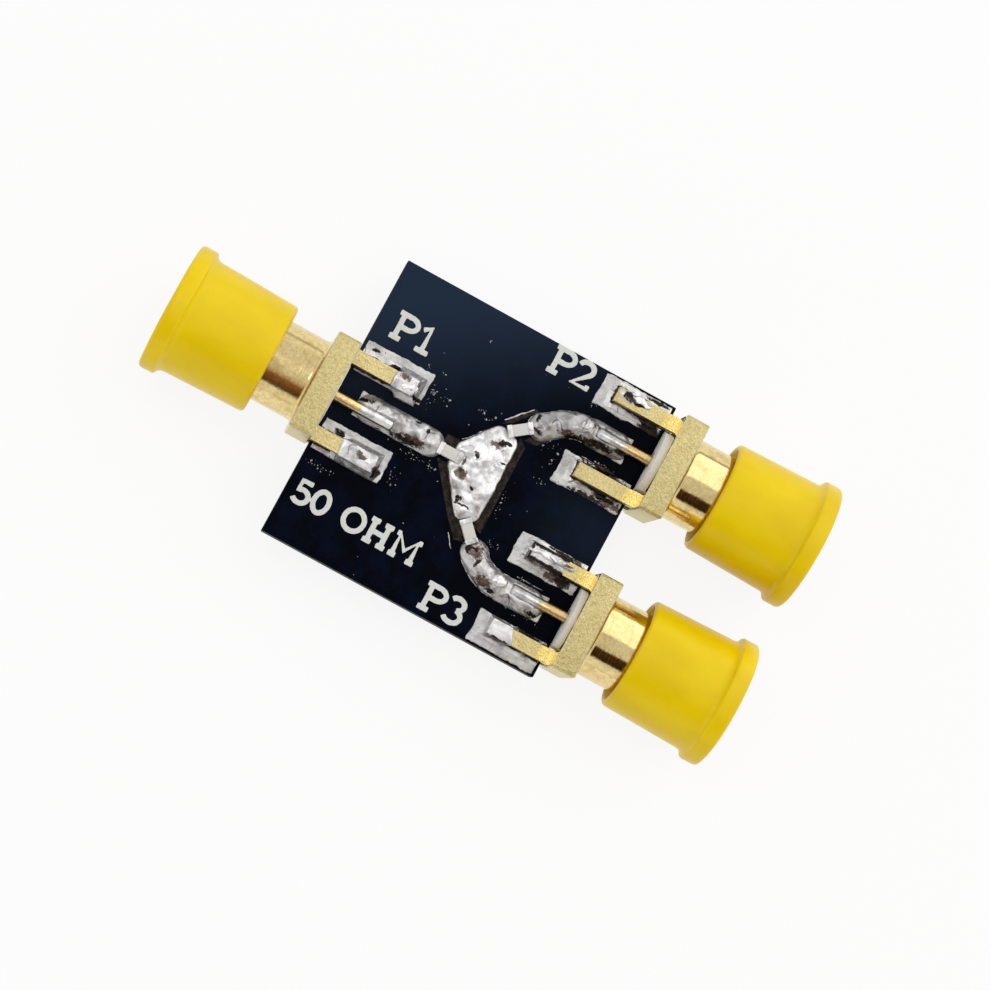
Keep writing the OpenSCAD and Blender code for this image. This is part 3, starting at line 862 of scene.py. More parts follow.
class SPLITTER_OT_print(bpy.types.Operator):
    """Port labels and impedance marking, printed in white ink"""

    bl_idname = "splitter.print"
    bl_label = "Print"

    # Lower left corner of each marking on the board, with its size against the labels
    PLACES = {"port_label_1": ("P1", -8.55, 4.72, 1.0), "port_label_2": ("P2", 1.0, 7.6, 1.0),
              "port_label_3": ("P3", 0.9, -9.12, 1.0), "impedance_marking": (None, -9.1, -7.12, 0.9)}
    # Width of the characters against their table
    WIDEN = 1.06

    def execute(self, context):
        look = context.scene.splitter.print
        ink = marking_ink(look)
        for name, (words, x, y, size) in self.PLACES.items():
            self.write(look, name, words or look.marking, x, y, size, ink)
        return {"FINISHED"}

    def write(self, look, name, words, x, y, size, ink):
        tall = look.letter * size / MM
        stroke = look.stroke / MM
        curve = bpy.data.curves.new(name, "CURVE")
        curve.dimensions = "3D"
        curve.bevel_depth = stroke / 2
        curve.bevel_resolution = 3
        curve.use_fill_caps = True
        along = stroke / 2
        for character in words:
            width, strokes = STROKES[character]
            for points in strokes:
                line = curve.splines.new("POLY")
                line.points.add(len(points) - 1)
                for point, (px, py) in zip(line.points, points):
                    right = along + px * tall * self.WIDEN
                    point.co = (right, stroke / 2 + py * (tall - stroke), 0.0, 1.0)
            along += width * tall * self.WIDEN
        bm = bmesh.new()
        filled_from(bm, linked(name, curve))
        bpy.data.curves.remove(curve)
        bmesh.ops.remove_doubles(bm, verts=bm.verts, dist=1e-4)
        bmesh.ops.recalc_face_normals(bm, faces=bm.faces)
        bmesh.ops.scale(bm, vec=(MM,) * 3, verts=bm.verts)
        evened(bm, 0.035 * MM)
        relaxed(bm, 2)
        ruffled(bm, 0.018 * MM, 0.16, len(name))
        bmesh.ops.scale(bm, vec=(1, 1, look.film / look.stroke), verts=bm.verts)
        bmesh.ops.translate(bm, vec=on_board(x, y, LACQUER_TOP), verts=bm.verts)
        settled(bm, name, (ink,))


class SPLITTER_OT_solder(bpy.types.Operator):
    """Lumpy hand solder on the star, the traces and the legs, and tinned copper under it"""

    bl_idname = "splitter.solder"
    bl_label = "Solder"

    # Lumps and hollows on the board as (x, y, radius, height)
    LUMPS = {
        "junction_solder": (
            (-0.75, 0.95, 0.55, 0.1), (1.45, -1.2, 0.5, 0.12), (0.9, -2.5, 0.5, 0.1),
            (0.15, 2.5, 0.5, 0.08), (-0.5, -0.6, 0.22, -0.16), (0.2, -2.1, 0.16, -0.14),
            (0.9, 2.15, 0.25, -0.16), (0.0, 0.8, 0.2, -0.1), (0.8, 0.3, 0.6, -0.12),
            (0.7, -1.5, 0.35, -0.08),
        ),
        "trace_1_solder": (
            (-5.5, 0.55, 0.55, 0.16), (-4.2, 0.95, 0.2, -0.14), (-4.1, -0.25, 0.4, -0.1),
            (-2.9, 0.3, 0.4, 0.12), (-3.6, 0.4, 0.25, -0.12), (-7.4, 0.8, 0.4, -0.08),
            (-6.4, 0.85, 0.3, 0.1),
        ),
        "trace_2_solder": (
            (3.05, 4.85, 0.4, 0.14), (5.25, 5.75, 0.36, 0.24), (2.5, 4.5, 0.3, -0.1),
            (4.2, 5.2, 0.4, -0.05), (7.2, 6.35, 0.3, 0.08), (6.6, 5.0, 0.3, -0.1),
            (4.9, 5.0, 0.25, -0.12),
        ),
        "trace_3_solder": (
            (4.75, -5.3, 0.42, 0.26), (2.75, -4.4, 0.35, -0.12), (3.35, -5.05, 0.3, 0.1),
            (3.9, -5.6, 0.25, -0.12), (6.3, -6.0, 0.4, 0.12), (7.3, -5.9, 0.3, 0.06),
            (2.2, -3.9, 0.3, 0.08),
        ),
    }
    # Solder on the end of a leg, as (port, side of the jack, from x, to x, thickness, spread past its sides)
    COATS = (
        (1, 1, -5.35, -6.95, 0.08, 0.42), (1, -1, -5.35, -8.55, 0.08, 0.34),
        (3, -1, 5.55, 7.35, 0.06, 0.16), (3, 1, 5.55, 8.75, 0.07, 0.10),
    )
    # Drops of solder as (x, y, half length, half width, height, base over the board)
    DROPS = (
        (6.9, 8.57, 0.95, 0.42, 0.2, 0.96), (7.0, -2.6, 1.4, 0.3, 0.24, 0.96),
        (-5.85, 2.5, 0.6, 0.42, 0.2, 0.96), (-6.1, -2.75, 0.7, 0.4, 0.16, 0.96),
        (5.12, 5.68, 0.44, 0.54, 0.52, 0.74), (4.8, -5.3, 0.45, 0.48, 0.46, 0.7),
    )
    SHINE = {"junction": 1.1, "trace_1": 0.84, "trace_2": 0.66, "trace_3": 0.86}
    # A leg's sizes, its way out from the jack's axis, its height over the board, and each flange's back
    LEG_LENGTH, LEG_WIDTH, LEG_HEIGHT = 4.2, 0.95, 0.9
    LEG_OUT = 2.655
    LEG_SEAT = 0.08
    FLANGES = (9.6, 9.9, 9.8)
    FINE_SKIN = 0.035 * MM

    def execute(self, context):
        look = context.scene.splitter.solder
        painted("junction_pad", dull_tin(look, "junction_tin"))
        rooted = lambda co: ease(over_board(co), 0.05, 0.25)
        for seed, (node, lumps) in enumerate(self.LUMPS.items()):
            area = node.replace("_solder", "")
            bm = node_copy(node)
            evened(bm, look.grain)
            relaxed(bm, 4)
            swollen(bm, 0.07 * MM, seed + 5)
            heaped(bm, lumps)
            ruffled(bm, look.lump, 0.55, seed + 1, rooted)
            ruffled(bm, 0.25 * look.lump, 0.26, seed + 11, rooted)
            relaxed(bm, 2)
            metal = bright_solder(look, f"{area}_bright_solder", self.SHINE[area], area)
            settled(bm, f"{area}_heap", (metal,), (node,), crease=80.0)
        trace_tin = dull_tin(look, "trace_tin")
        for port in PORTS:
            self.tinned(f"trace_{port}", f"trace_{port}_copper", trace_tin, port + 70)
            tin = dull_tin(look, f"port_{port}_tin", f"port_{port}")
            self.tinned(f"port_{port}_ground_pads", f"port_{port}_tinned_pads", tin, port + 20)
            self.fillets(look, port)
        for number, coat in enumerate(self.COATS, 1):
            port = coat[0]
            # Coats past port 1 take painted shade along the outline of the leg on the jack's +Y side
            lines = self.legs(port)[1:] if port > 1 else ()
            metal = bright_solder(look, f"leg_coat_{number}_solder", 0.95, f"port_{port}", lines)
            self.coat(number, coat, metal)
        self.drops(bright_solder(look, "leg_drop_solder", 1.08, "drops"))
        return {"FINISHED"}

    def tinned(self, node, name, tin, seed):
        """Flat copper with a ragged, uneven coat of tin."""
        bm = node_copy(node)
        evened(bm, 0.04 * MM)
        frayed(bm, 0.10 * MM, seed + 5)
        ruffled(bm, 0.03 * MM, 0.7, seed, lambda co: ease(over_board(co), 0.02, 0.07))
        ruffled(bm, 0.008 * MM, 0.2, seed + 10)
        settled(bm, name, (tin,), (node,), crease=80.0)

    def drops(self, metal):
        """Uneven drops, each run together from a few beads."""
        draw = random.Random(7)
        bm = bmesh.new()
        for x, y, half_length, half_width, height, base in self.DROPS:
            for part in (-0.7, -0.35, 0.0, 0.35, 0.7):
                full = (1.0 - 0.6 * part * part) * draw.uniform(0.88, 1.0)
                spot = on_board(x + part * half_length, y + draw.uniform(-0.12, 0.12) * half_width, base)
                pebble(bm, 3, spot, (0.5 * half_length, full * half_width, full * height))
        evened(bm, self.FINE_SKIN)
        relaxed(bm, 3)
        ruffled(bm, 0.06 * MM, 0.4, 91)
        ruffled(bm, 0.015 * MM, 0.12, 92)
        settled(bm, "leg_drops", (metal,), crease=80.0)

    def legs(self, port):
        """Outlines of a port's legs, as (middle x, middle y, half length, half width) on the board."""
        jack = middle_of(f"jack_{port}_body")
        half = self.LEG_LENGTH / 2
        x = math.copysign(self.FLANGES[port - 1] - half, jack.x)
        y = (jack.y - BOARD_MID.y) / MM
        return [(x, y + side * self.LEG_OUT, half, self.LEG_WIDTH / 2) for side in (-1, 1)]

    def fillets(self, look, port):
        node = f"port_{port}_leg_solder"
        # The fillets take painted shade along both legs' outlines
        metal = bright_solder(look, f"port_{port}_bright_solder", 0.95, f"port_{port}", self.legs(port))
        bm = node_copy(node)
        evened(bm, look.grain)
        relaxed(bm, 3)
        tip = self.FLANGES[port - 1] - self.LEG_LENGTH
        for v in bm.verts:
            high = over_board(v.co) - self.LEG_SEAT
            beyond = ease(tip - abs(v.co.x) / MM, -0.15, 0.05)
            full = 0.42 - 0.3 * beyond
            if high > 0.02:
                wave = noise.noise(Vector((v.co.x / MM * 1.1, v.co.y / MM * 0.6, 5.0 * port)))
                keep = full + 0.8 * full * wave
                v.co.z -= math.copysign(high * (1.0 - keep) * MM, v.co.z - BOARD_MID.z)
        rooted = lambda co: ease(over_board(co), 0.08, 0.2)
        ruffled(bm, 0.9 * look.lump, 0.6, port + 40, rooted)
        ruffled(bm, 0.25 * look.lump, 0.25, port + 50, rooted)
        relaxed(bm, 1)
        settled(bm, f"port_{port}_fillets", (metal,), (node,), crease=80.0)

    def coat(self, number, coat, metal):
        """Solder that wetted the end of a leg, thinning out along it."""
        port, side, tip, root, thick, spread = coat
        out = middle_of(f"jack_{port}_body").y + side * self.LEG_OUT * MM
        height = BOARD_TOP + (self.LEG_SEAT + self.LEG_HEIGHT / 2) * MM
        mid = Vector(((tip + root) / 2 * MM, out, height))
        half = Vector((abs(root - tip), self.LEG_WIDTH, self.LEG_HEIGHT)) * MM / 2
        bm = bmesh.new()
        block(bm, mid - half, mid + half)
        bmesh.ops.subdivide_edges(bm, edges=bm.edges, cuts=24, use_grid_fill=True)
        start = Vector((number * 4.1, 0.0, 0.0))
        left = lambda co: (co.x / MM - tip) / (root - tip) + 0.3 * noise.noise(co / (0.9 * MM) + start)
        for v in bm.verts:
            cover = 1.0 - 2.0 * ease(left(v.co), 0.72, 0.95)
            across = (v.co.y - mid.y) / half.y
            up = (v.co.z - mid.z) / half.z
            skirt = max(0.0, cover) * spread * ease(-up, -0.95, 0.7)
            at_tip = 1.0 - ease((v.co.x / MM - tip) / (root - tip), 0.0, 0.15)
            v.co.x += math.copysign(skirt * at_tip * MM, tip - root)
            v.co.y += across * MM * (cover * thick + skirt)
            v.co.z += max(0.0, up) * cover * MM * thick * (1.5 - 0.5 * across * across)
        evened(bm, self.FINE_SKIN)
        relaxed(bm, 3)
        wetted = lambda co: 1.0 - ease(left(co), 0.5, 0.8)
        ruffled(bm, 0.05 * MM, 0.6, number + 60, wetted)
        ruffled(bm, 0.008 * MM, 0.2, number + 65, wetted)
        settled(bm, f"leg_coat_{number}", (metal,), crease=80.0)


class SPLITTER_OT_flux(bpy.types.Operator):
    """Dry crumbs and burnt lumps that the soldering left on the board, and thin bright beads along the
    copper's edges as painted highlights
    """

    bl_idname = "splitter.flux"
    bl_label = "Flux crumbs"

    # Where crumbs lie on the board, as (x, y, reach along x, reach along y, count)
    DRIFTS = (
        (-4.3, 3.0, 0.35, 0.8, 24), (-8.3, -4.4, 0.9, 0.25, 24), (-3.0, -1.1, 1.4, 0.4, 36),
        (-3.4, 2.9, 0.5, 0.4, 10), (-0.4, 3.3, 0.3, 0.3, 9), (-2.65, 7.6, 0.12, 0.12, 6),
        (4.2, 3.0, 0.35, 0.8, 14), (4.1, 1.3, 0.6, 0.25, 9), (2.7, -0.9, 0.25, 1.7, 18),
        (3.4, -3.5, 0.5, 0.4, 18), (6.6, -4.5, 0.9, 0.15, 15), (7.2, 4.1, 0.8, 0.1, 14),
        (-5.3, 4.3, 0.3, 0.2, 9), (-4.0, -2.6, 0.5, 0.9, 12), (0.0, 0.0, 8.5, 8.5, 39),
        (6.9, -6.6, 1.2, 0.2, 9), (3.4, 3.6, 0.7, 0.3, 12), (4.8, 7.2, 0.4, 0.2, 6),
        (-0.9, 3.4, 0.6, 0.2, 8),
    )
    # Furthest that a crumb lies from the board's middle, and the size that the crumbs' sizes spread about
    INSIDE = 9.2
    CRUMB = 0.016
    # Burnt lumps beside the legs, as (x, y, half length, half width, height)
    BURNT = (
        (7.35, 3.92, 0.85, 0.16, 0.28), (8.35, -3.3, 0.45, 0.14, 0.2), (7.0, -3.18, 0.9, 0.09, 0.2),
        (-8.0, -2.05, 0.3, 0.17, 0.2), (8.4, 7.75, 0.75, 0.2, 0.16), (8.1, 2.3, 0.75, 0.14, 0.2),
        (-6.95, 3.3, 0.3, 0.12, 0.16), (-5.2, -2.75, 0.14, 0.4, 0.14), (-4.95, 2.15, 0.3, 0.13, 0.14),
    )
    BURNT_BASE = 0.08
    # Painted highlights: bright beads along the edge of the copper, where it catches the light, as (from x,
    # y, to x, y, thickness)
    GLINT_BEADS = (
        (0.4, 3.68, 1.78, 5.12, 0.045), (-1.3, 1.35, 0.2, 3.1, 0.025), (0.65, -4.1, 1.25, -4.95, 0.035),
        (5.7, 3.96, 7.7, 3.93, 0.03), (5.7, -4.45, 7.5, -4.5, 0.022),
    )
    GLINT_BEAD_BASE = 0.03

    def execute(self, context):
        look = context.scene.splitter.solder
        draw = random.Random(4)
        bm = bmesh.new()
        for x, y, reach_x, reach_y, crumbs in self.DRIFTS:
            for _ in range(crumbs):
                along = x + draw.gauss(0, 0.5) * reach_x
                across = y + draw.gauss(0, 0.5) * reach_y
                along, across = (max(-self.INSIDE, min(self.INSIDE, c)) for c in (along, across))
                spot = on_board(along, across, LACQUER_TOP)
                size = self.CRUMB * math.exp(draw.gauss(0.25, 0.5))
                turn = Matrix.Rotation(draw.uniform(0, math.pi), 4, "Z")
                turn = turn @ Matrix.Rotation(draw.uniform(-0.6, 0.6), 4, "Y")
                reach = [size * draw.uniform(*ends) for ends in ((0.8, 2.0), (0.7, 1.2), (0.5, 1.0))]
                pebble(bm, 2, spot, reach, turn)
        ruffled(bm, 0.022 * MM, 0.035, 3)
        settled(bm, "flux_crumbs", (dry_flux(look),))

        bm = bmesh.new()
        for x, y, reach_x, reach_y, tall in self.BURNT:
            pebble(bm, 4, on_board(x, y, self.BURNT_BASE), (reach_x, reach_y, tall))
        ruffled(bm, 0.09 * MM, 0.3, 8)
        ruffled(bm, 0.03 * MM, 0.1, 9)
        settled(bm, "burnt_flux_lumps", (burnt_flux(look),), crease=80.0)

        # Painted highlights: thin bright solder beads laid along the copper's edges
        bm = bmesh.new()
        for x0, y0, x1, y1, thick in self.GLINT_BEADS:
            start, end = on_board(x0, y0, self.GLINT_BEAD_BASE), on_board(x1, y1, self.GLINT_BEAD_BASE)
            along = end - start
            turn = along.to_track_quat("Z", "Y").to_matrix().to_4x4()
            made = bmesh.ops.create_cone(
                bm, cap_ends=True, cap_tris=True, segments=8, radius1=thick * MM, radius2=thick * MM,
                depth=along.length, matrix=Matrix.Translation((start + end) / 2) @ turn,
            )["verts"]
            sides = {e for v in made for e in v.link_edges if e.calc_length() > along.length / 2}
            bmesh.ops.subdivide_edges(bm, edges=list(sides), cuts=40)
        ruffled(bm, 0.035 * MM, 0.2, 12)
        # Without a seed of its own, noise_vector takes one from the clock
        noise.seed_set(12)
        strays = [noise.noise_vector(v.co / (0.5 * MM)) * 0.07 * MM for v in bm.verts]
        moved(bm, [Vector((stray.x, stray.y, 0.0)) for stray in strays])
        metal = bright_solder(look, "glint_bead_solder", 0.95)
        settled(bm, "copper_edge_glint_beads", (metal,), crease=80.0)
        return {"FINISHED"}


class SPLITTER_OT_chips(bpy.types.Operator):
    """Chip resistors with softened edges"""

    bl_idname = "splitter.chips"
    bl_label = "Chips"

    def execute(self, context):
        look = context.scene.splitter
        ceramic = chip_ceramic(look.chips)
        ends = bright_solder(look.solder, "chip_end_tin", 1.0)
        for port in PORTS:
            for node, made, slot, finish in (
                (f"chip_{port}", f"chip_{port}_block", "chip_ceramic", ceramic),
                (f"chip_{port}_terminals", f"chip_{port}_ends", "tinned_copper", ends),
            ):
                bm = node_copy(node)
                flat_faces(bm)
                rounded(bm, sharp_edges(bm), look.chips.edge, 3)
                settled(bm, made, (finish,), (node,))
        return {"FINISHED"}


class SPLITTER_OT_jacks(bpy.types.Operator):
    """Gold-plated shells with a real thread, insulators and slotted contacts"""

    bl_idname = "splitter.jacks"
    bl_label = "Jacks"

    THREAD_LENGTH = 5.0 * MM
    NECK_LENGTH = 2.9 * MM
    FLANGE_THICKNESS = 1.56 * MM
    LEG_LENGTH = 4.1 * MM
    # Radius round the pin inside which no edge is milled
    TURNED = 2.4 * MM
    # Furthest from the middle that an insulator's rear face lies, and its gap to the board's edge
    BEHIND_FLANGE = 10.0 * MM
    BOARD_GAP = 0.02 * MM
    # Gaps from the neck's two ends to the loops that keep its shading straight
    NECK_LOOPS = (0.34 * MM, 0.06 * MM)
    # Half widths of the thread's ridge at its foot and its crest, and the turns past each end, in pitches
    RIDGE_FOOT, RIDGE_CREST, RUN_OUT = 0.47, 0.07, 1.2
    # A shell's finishes, in their order
    MILLED, POLISHED, LEG, ROOT, EDGE = range(5)

    def execute(self, context):
        look = context.scene.splitter
        gold = (
            milled_gold("milled_gold", look.jacks.milled),
            turned_gold(look.jacks),
            milled_gold("leg_gold", look.jacks.legs),
            milled_gold("root_gold", look.jacks.roots, 0.14, 0.015),
            # The paler edge plate is partly wear and partly painted highlight
            milled_gold("edge_gold", look.jacks.worn),
        )
        pin = pin_gold(look.jacks, look.solder)
        white = white_insulator(look.jacks)
        for port in PORTS:
            self.shell(look.jacks, port, gold)
            for node, made, slot, finish in (
                (f"jack_{port}_insulator", f"jack_{port}_bead", "white_insulator", white),
                (f"jack_{port}_contact", f"jack_{port}_pin", "gold_plated_brass", pin),
            ):
                bm = node_copy(node)
                flat_faces(bm)
                if finish is white:
                    self.drawn_out(bm)
                settled(bm, made, (finish,), (node,))
        return {"FINISHED"}

    def drawn_out(self, bm):
        """Lengthens an insulator from the flange to the board's edge, where it shows as a pale strip."""
        for v in bm.verts:
            if abs(v.co.x) < self.BEHIND_FLANGE:
                v.co.x = math.copysign(BOARD_HIGH.x + self.BOARD_GAP, v.co.x)

    def shell(self, look, port, gold):
        node = f"jack_{port}_body"
        low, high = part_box(node)
        way = -1.0 if port == 1 else 1.0
        mouth = low.x if way < 0 else high.x
        start = mouth - way * self.THREAD_LENGTH
        front = start - way * self.NECK_LENGTH
        axis = Vector((0.0, middle_of(node).y, middle_of(f"dust_cap_{port}").z))
        bm = node_copy(node)
        flat_faces(bm)
        milled = [
            e for e in sharp_edges(bm, 20.0)
            if all((v.co.x - front) * way < 0.02 * MM for v in e.verts)
            and all((v.co.yz - axis.yz).length > self.TURNED for v in e.verts)
        ]
        rounded(bm, milled, look.edge)
        for v in bm.verts:
            out = v.co.yz - axis.yz
            if (v.co.x - start) * way > -0.05 * MM and out.length > look.root:
                v.co.yz = axis.yz + out * (look.root / out.length)
        sliced(bm, front + way * self.NECK_LOOPS[0])
        sliced(bm, start - way * self.NECK_LOOPS[1])
        self.thread(bm, look, axis, start, mouth, way)
        for face in bm.faces:
            middle = face.calc_center_median()
            past_front = (middle.x - front) * way
            past_tip = (middle.x - low.x - high.x + mouth) * way
            rear = face.normal.x * way < -0.9 and past_tip > self.LEG_LENGTH
            polished = past_front > 0.01 * MM or rear
            on_leg = past_front < -self.FLANGE_THICKNESS
            on_root = way > 0 and on_leg and 0.1 < abs(face.normal.x) < 0.3
            # The flange's chamfers take the paler edge plate, partly wear and partly painted highlight
            on_edge = not on_leg and 0.25 < abs(face.normal.x) < 0.97
            face.material_index = (
                self.POLISHED if polished else self.ROOT if on_root else self.LEG if on_leg
                else self.EDGE if on_edge else self.MILLED
            )
        settled(bm, f"jack_{port}_shell", gold, (node,), crease=32.0)

    def thread(self, bm, look, axis, start, mouth, way):
        """Winds a ridge along the barrel and trims it square at both ends."""
        ridge = bmesh.new()
        half, flat = self.RIDGE_FOOT * look.pitch, self.RIDGE_CREST * look.pitch
        buried = look.root - 0.05 * MM
        begin = start - way * self.RUN_OUT * look.pitch
        outline = [
            ridge.verts.new((begin + dx, axis.y, axis.z + r))
            for dx, r in ((-half, buried), (-flat, look.crest), (flat, look.crest), (half, buried))
        ]
        loop = [ridge.edges.new((outline[k], outline[(k + 1) % 4])) for k in range(4)]
        turns = self.THREAD_LENGTH / look.pitch + 2 * self.RUN_OUT
        steps = round(turns * look.facets)
        bmesh.ops.spin(
            ridge, geom=outline + loop, cent=axis, axis=(way, 0, 0),
            dvec=(way * look.pitch / look.facets, 0, 0),
            angle=steps * 2 * math.pi / look.facets, steps=steps, use_merge=False,
        )
        bmesh.ops.holes_fill(ridge, edges=[e for e in ridge.edges if e.is_boundary], sides=4)
        bmesh.ops.recalc_face_normals(ridge, faces=ridge.faces)
        for place, side in ((start + way * 0.3 * MM, -way), (mouth - way * 0.05 * MM, way)):
            sliced(ridge, place, side, trim=True)
            bmesh.ops.holes_fill(ridge, edges=[e for e in ridge.edges if e.is_boundary], sides=0)
        for v in ridge.verts:
            out = v.co.yz - axis.yz
            most = look.root + 0.08 * MM + abs(mouth - v.co.x)
            if out.length > most:
                v.co.yz = axis.yz + out * (most / out.length)
        bmesh.ops.recalc_face_normals(ridge, faces=ridge.faces)
        mesh = bpy.data.meshes.new("ridge")
        ridge.to_mesh(mesh)
        ridge.free()
        bm.from_mesh(mesh)
        bpy.data.meshes.remove(mesh)


class SPLITTER_OT_caps(bpy.types.Operator):
    """Soft moulded dust caps with a finger rim and a gate mark"""

    bl_idname = "splitter.caps"
    bl_label = "Caps"

    # A cap's wall as (length from the mouth, radius, rounding), in millimetres
    WALL = (
        (6.2, 0.0, 0.0), (6.2, 3.225, 0.3), (0.12, 3.225, 0.0), (0.0, 3.33, 0.0), (0.0, 3.62, 0.26),
        (5.78, 3.775, 0.32), (5.9, 4.19, 0.22), (6.99, 4.19, 0.28), (6.99, 1.0, 0.0), (6.93, 0.85, 0.0),
        (6.93, 0.4, 0.0), (6.97, 0.3, 0.0), (6.97, 0.0, 0.0),
    )
    NEAR = 0.001 * MM

    def execute(self, context):
        look = context.scene.splitter.caps
        plastic = cap_plastic(look)
        for port in PORTS:
            low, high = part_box(f"dust_cap_{port}")
            way = -1.0 if port == 1 else 1.0
            mouth = high.x if way < 0 else low.x
            axis = middle_of(f"dust_cap_{port}")
            axis.x = 0.0
            bm = bmesh.new()
            wall = [bm.verts.new((mouth + way * s * MM, axis.y, axis.z + r * MM)) for s, r, _ in self.WALL]
            runs = [bm.edges.new(pair) for pair in zip(wall, wall[1:])]
            bmesh.ops.spin(
                bm, geom=wall + runs, cent=axis, axis=(1, 0, 0), dvec=(0, 0, 0), angle=2 * math.pi,
                steps=look.facets, use_merge=True,
            )
            bmesh.ops.remove_doubles(bm, verts=bm.verts, dist=1e-4 * MM)
            bmesh.ops.recalc_face_normals(bm, faces=bm.faces)
            for s, r, round_off in self.WALL:
                if round_off:
                    self.soften(bm, axis, mouth + way * s * MM, r * MM, round_off * MM)
            loose = lambda co: ease(abs(co.x - mouth), 0.0, 2 * MM) * 0.5 + 0.5
            ruffled(bm, look.wobble, 2.6, port + 70, loose)
            self.held_inside(bm, low, high)
            node, body = f"dust_cap_{port}", f"cap_{port}"
            settled(bm, f"{body}_moulding", (plastic,), (node,), body, 50.0)
        return {"FINISHED"}

    def soften(self, bm, axis, x, radius, width):
        """Rounds the ring of edges at one corner of the wall."""
        on_ring = lambda co: max(abs(co.x - x), abs((co.yz - axis.yz).length - radius)) < self.NEAR
        ring = [e for e in bm.edges if all(on_ring(v.co) for v in e.verts)]
        if not ring:
            raise RuntimeError("a cap's wall has no ring where it should be rounded")
        rounded(bm, ring, width, 5)

    def held_inside(self, bm, low, high):
        """Keeps the moulding inside its solid's box."""
        for v in bm.verts:
            v.co = Vector(min(max(c, a), b) for c, a, b in zip(v.co, low, high))


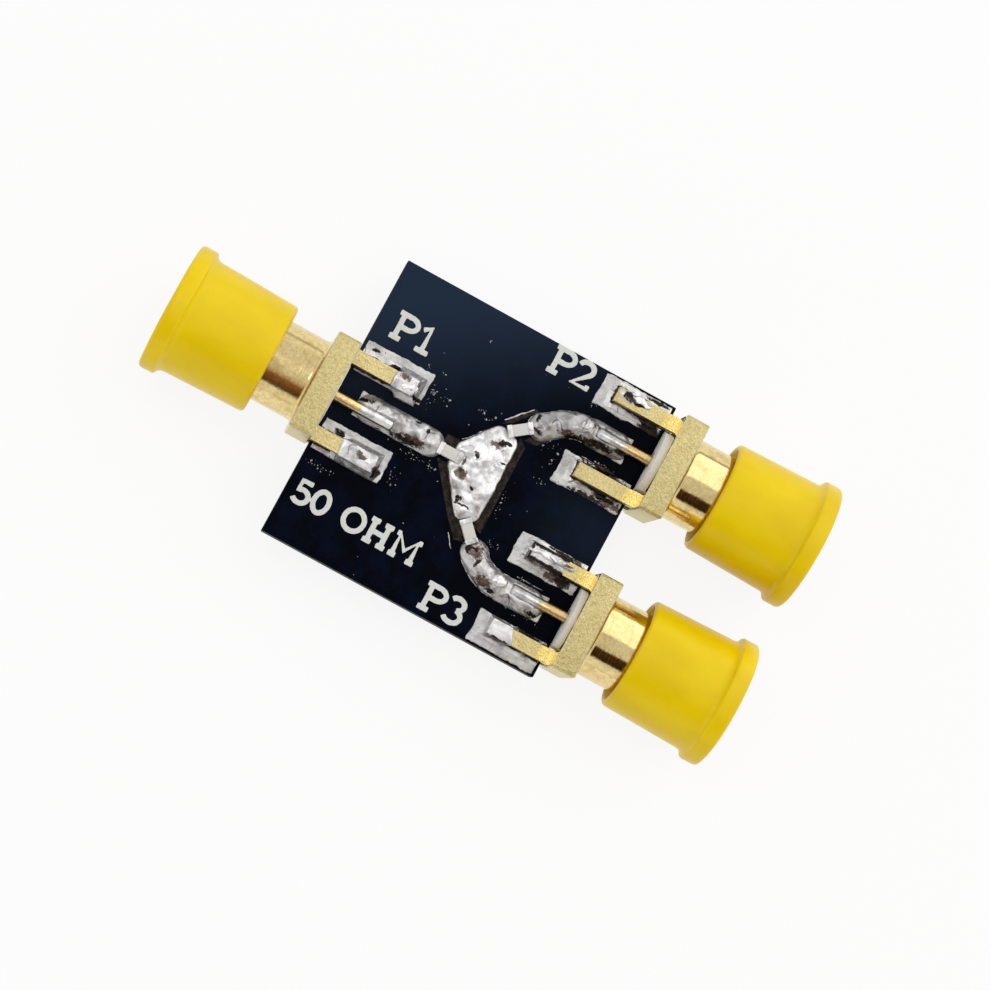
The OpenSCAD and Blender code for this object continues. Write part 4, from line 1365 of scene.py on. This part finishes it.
class SPLITTER_OT_stage(bpy.types.Operator):
    """Pale floor, soft light and the camera"""

    bl_idname = "splitter.stage"
    bl_label = "Stage"

    # The card's middle, off the zenith towards -Y, and half its width
    CARD_LEAN = math.radians(46)
    CARD_HALF = math.radians(17)
    # Each light's place and size, in metres
    KEY = (0.22, 0.226, 0.226), (0.40, 0.45)
    FILL = (-0.105, 0.035, 0.265), (0.12, 0.09)
    # The floor's glow, its loss in the shadow, where the board's shadow ends, and flanges 2 and 3
    GLOW, GLOW_LOSS = 0.87, 0.72
    BOARD_SHADOW = (7.8, 9.6)
    FLANGE_X, FLANGE_Y, FLANGE_MID = 10.6, 5.525, 0.2

    def execute(self, context):
        look = context.scene.splitter.stage
        context.scene.view_settings.view_transform = "Standard"
        self.floor(look)
        self.lamp("key_light", look.key, *self.KEY)
        self.lamp("fill_light", look.fill, *self.FILL)
        self.room(context.scene, look)
        self.camera(context.scene, look)
        return {"FINISHED"}

    def floor(self, look):
        bm = bmesh.new()
        bmesh.ops.create_grid(bm, x_segments=8, y_segments=8, size=2.0)
        mesh = bpy.data.meshes.new("floor")
        bm.to_mesh(mesh)
        bm.free()
        made = Finish("floor_paper", {
            "Base Color": rgba(look.floor), "Roughness": 0.9, "Specular IOR Level": 0.1,
        })
        rays = made.at.node("LightPath", output=0)
        seen = rays.most(made.at.node("LightPath", output=3)).most(made.at.node("LightPath", output=6))
        glow = made.at.node("Emission", None, {"Color": (1, 1, 1, 1), "Strength": 1.0})
        lit = Shade(made.at.tree, made.shader.outputs[0])
        # The glow fades under the board and flanges 2 and 3, so that their shadow lies there
        x, y, _ = made.at.axes()
        board = (1.0 - abs(x).rising(*self.BOARD_SHADOW)) * (1.0 - abs(y).rising(*self.BOARD_SHADOW))
        by_flange = 1.0 - abs(x - self.FLANGE_X).rising(0.7, 1.2)
        ports = 1.0 - abs(abs(y - self.FLANGE_MID) - self.FLANGE_Y).rising(2.4, 3.2)
        under = board.most(by_flange * ports)
        share = seen * (self.GLOW - under * self.GLOW_LOSS)
        both = made.at.node("MixShader", None, {0: share, 1: lit, 2: glow})
        made.at.feed(made.material.node_tree.nodes["Material Output"].inputs["Surface"], both)
        mesh.materials.append(made.material)
        floor = linked("floor", mesh)

    def lamp(self, name, energy, place, size):
        """A soft light over the part, with two edges along X so that the necks mirror straight bands."""
        light = bpy.data.lights.new(name, "AREA")
        light.shape = "RECTANGLE"
        light.size, light.size_y = size
        light.energy = energy
        lamp = linked(name, light)
        tilt = Matrix.Rotation(-math.atan2(place[1], place[2]), 4, "X")
        lamp.matrix_world = Matrix.Translation(place) @ tilt

    def room(self, scene, look):
        """A pale room with a dark card over the near side, which the polished necks mirror."""
        world = bpy.data.worlds.new("pale_room")
        world.use_nodes = True
        scene.world = world
        tree = world.node_tree
        way = Shade(tree).node("TexCoord", output=0)
        east, north, up = way.axes()
        square = north * north + up * up
        across = square.math("SQRT", square)
        near = -1.0 * north / across
        lean = (up * math.cos(self.CARD_LEAN) - north * math.sin(self.CARD_LEAN)) / across
        soft = near.rising(0.22, 0.58) * (1.0 - near.rising(0.88, 0.92))
        crisp = lean.rising(math.cos(self.CARD_HALF), math.cos(0.8 * self.CARD_HALF))
        aside = east.rising(0.02, 0.09)
        card = (soft + (crisp - soft) * aside) * (1.0 - abs(east).rising(0.30, 0.55)) * up.rising(0.0, 0.1)
        skyline = (1.0 - abs(up - 0.07).rising(0.02, 0.08)) * north.rising(0.0, 0.3)
        level = (1.0 - up.rising(0.10, 0.60)) * 0.24 + 0.73
        level = level * (up.rising(-0.02, 0.12) * 0.4 + 0.6) * (1.0 - skyline * 0.5)
        grain = near.rising(0.60, 0.90).tint((0.30, 0.135, 0.055, 1), (0.085, 0.040, 0.016, 1))
        wood = aside.tint(grain, (0.028, 0.016, 0.010, 1))
        background = tree.nodes["Background"]
        way.feed(background.inputs["Color"], card.tint(level.tint((0, 0, 0, 1), (1, 1, 1, 1)), wood))
        background.inputs["Strength"].default_value = look.sky

    def camera(self, scene, look):
        forward = Vector(look.camera_forward).normalized()
        right = Vector(look.camera_right)
        right = (right - forward * right.dot(forward)).normalized()
        above = right.cross(forward)
        lens = bpy.data.cameras.new("camera")
        lens.angle = look.camera_angle
        lens.clip_start = 0.001
        lens.clip_end = 20.0
        camera = linked("camera", lens)
        turn = Matrix((right, above, -forward)).transposed().to_4x4()
        camera.matrix_world = Matrix.Translation(look.camera_at) @ turn
        scene.camera = camera


STEPS = (
    SPLITTER_OT_board, SPLITTER_OT_print, SPLITTER_OT_solder, SPLITTER_OT_flux,
    SPLITTER_OT_chips, SPLITTER_OT_jacks, SPLITTER_OT_caps, SPLITTER_OT_stage,
)


class SPLITTER_PT_pieces(bpy.types.Panel):
    """Lists the pieces of the splitter"""

    bl_idname = "SPLITTER_PT_pieces"
    bl_label = "RF power splitter"
    bl_space_type = "VIEW_3D"
    bl_region_type = "UI"
    bl_category = "Splitter"

    def draw(self, context):
        for step in STEPS:
            self.layout.operator(step.bl_idname)


GROUPS = (BoardLook, PrintLook, SolderLook, ChipLook, JackLook, CapLook, StageLook, SplitterLook)
CLASSES = (*GROUPS, *STEPS, SPLITTER_PT_pieces)


def register():
    for made in CLASSES:
        bpy.utils.register_class(made)
    bpy.types.Scene.splitter = PointerProperty(type=SplitterLook)


def unregister():
    del bpy.types.Scene.splitter
    for made in reversed(CLASSES):
        bpy.utils.unregister_class(made)


def main():
    register()
    bpy.ops.splitter.board()
    bpy.ops.splitter.print()
    bpy.ops.splitter.solder()
    bpy.ops.splitter.flux()
    bpy.ops.splitter.chips()
    bpy.ops.splitter.jacks()
    bpy.ops.splitter.caps()
    bpy.ops.splitter.stage()


if __name__ == "__main__":
    main()
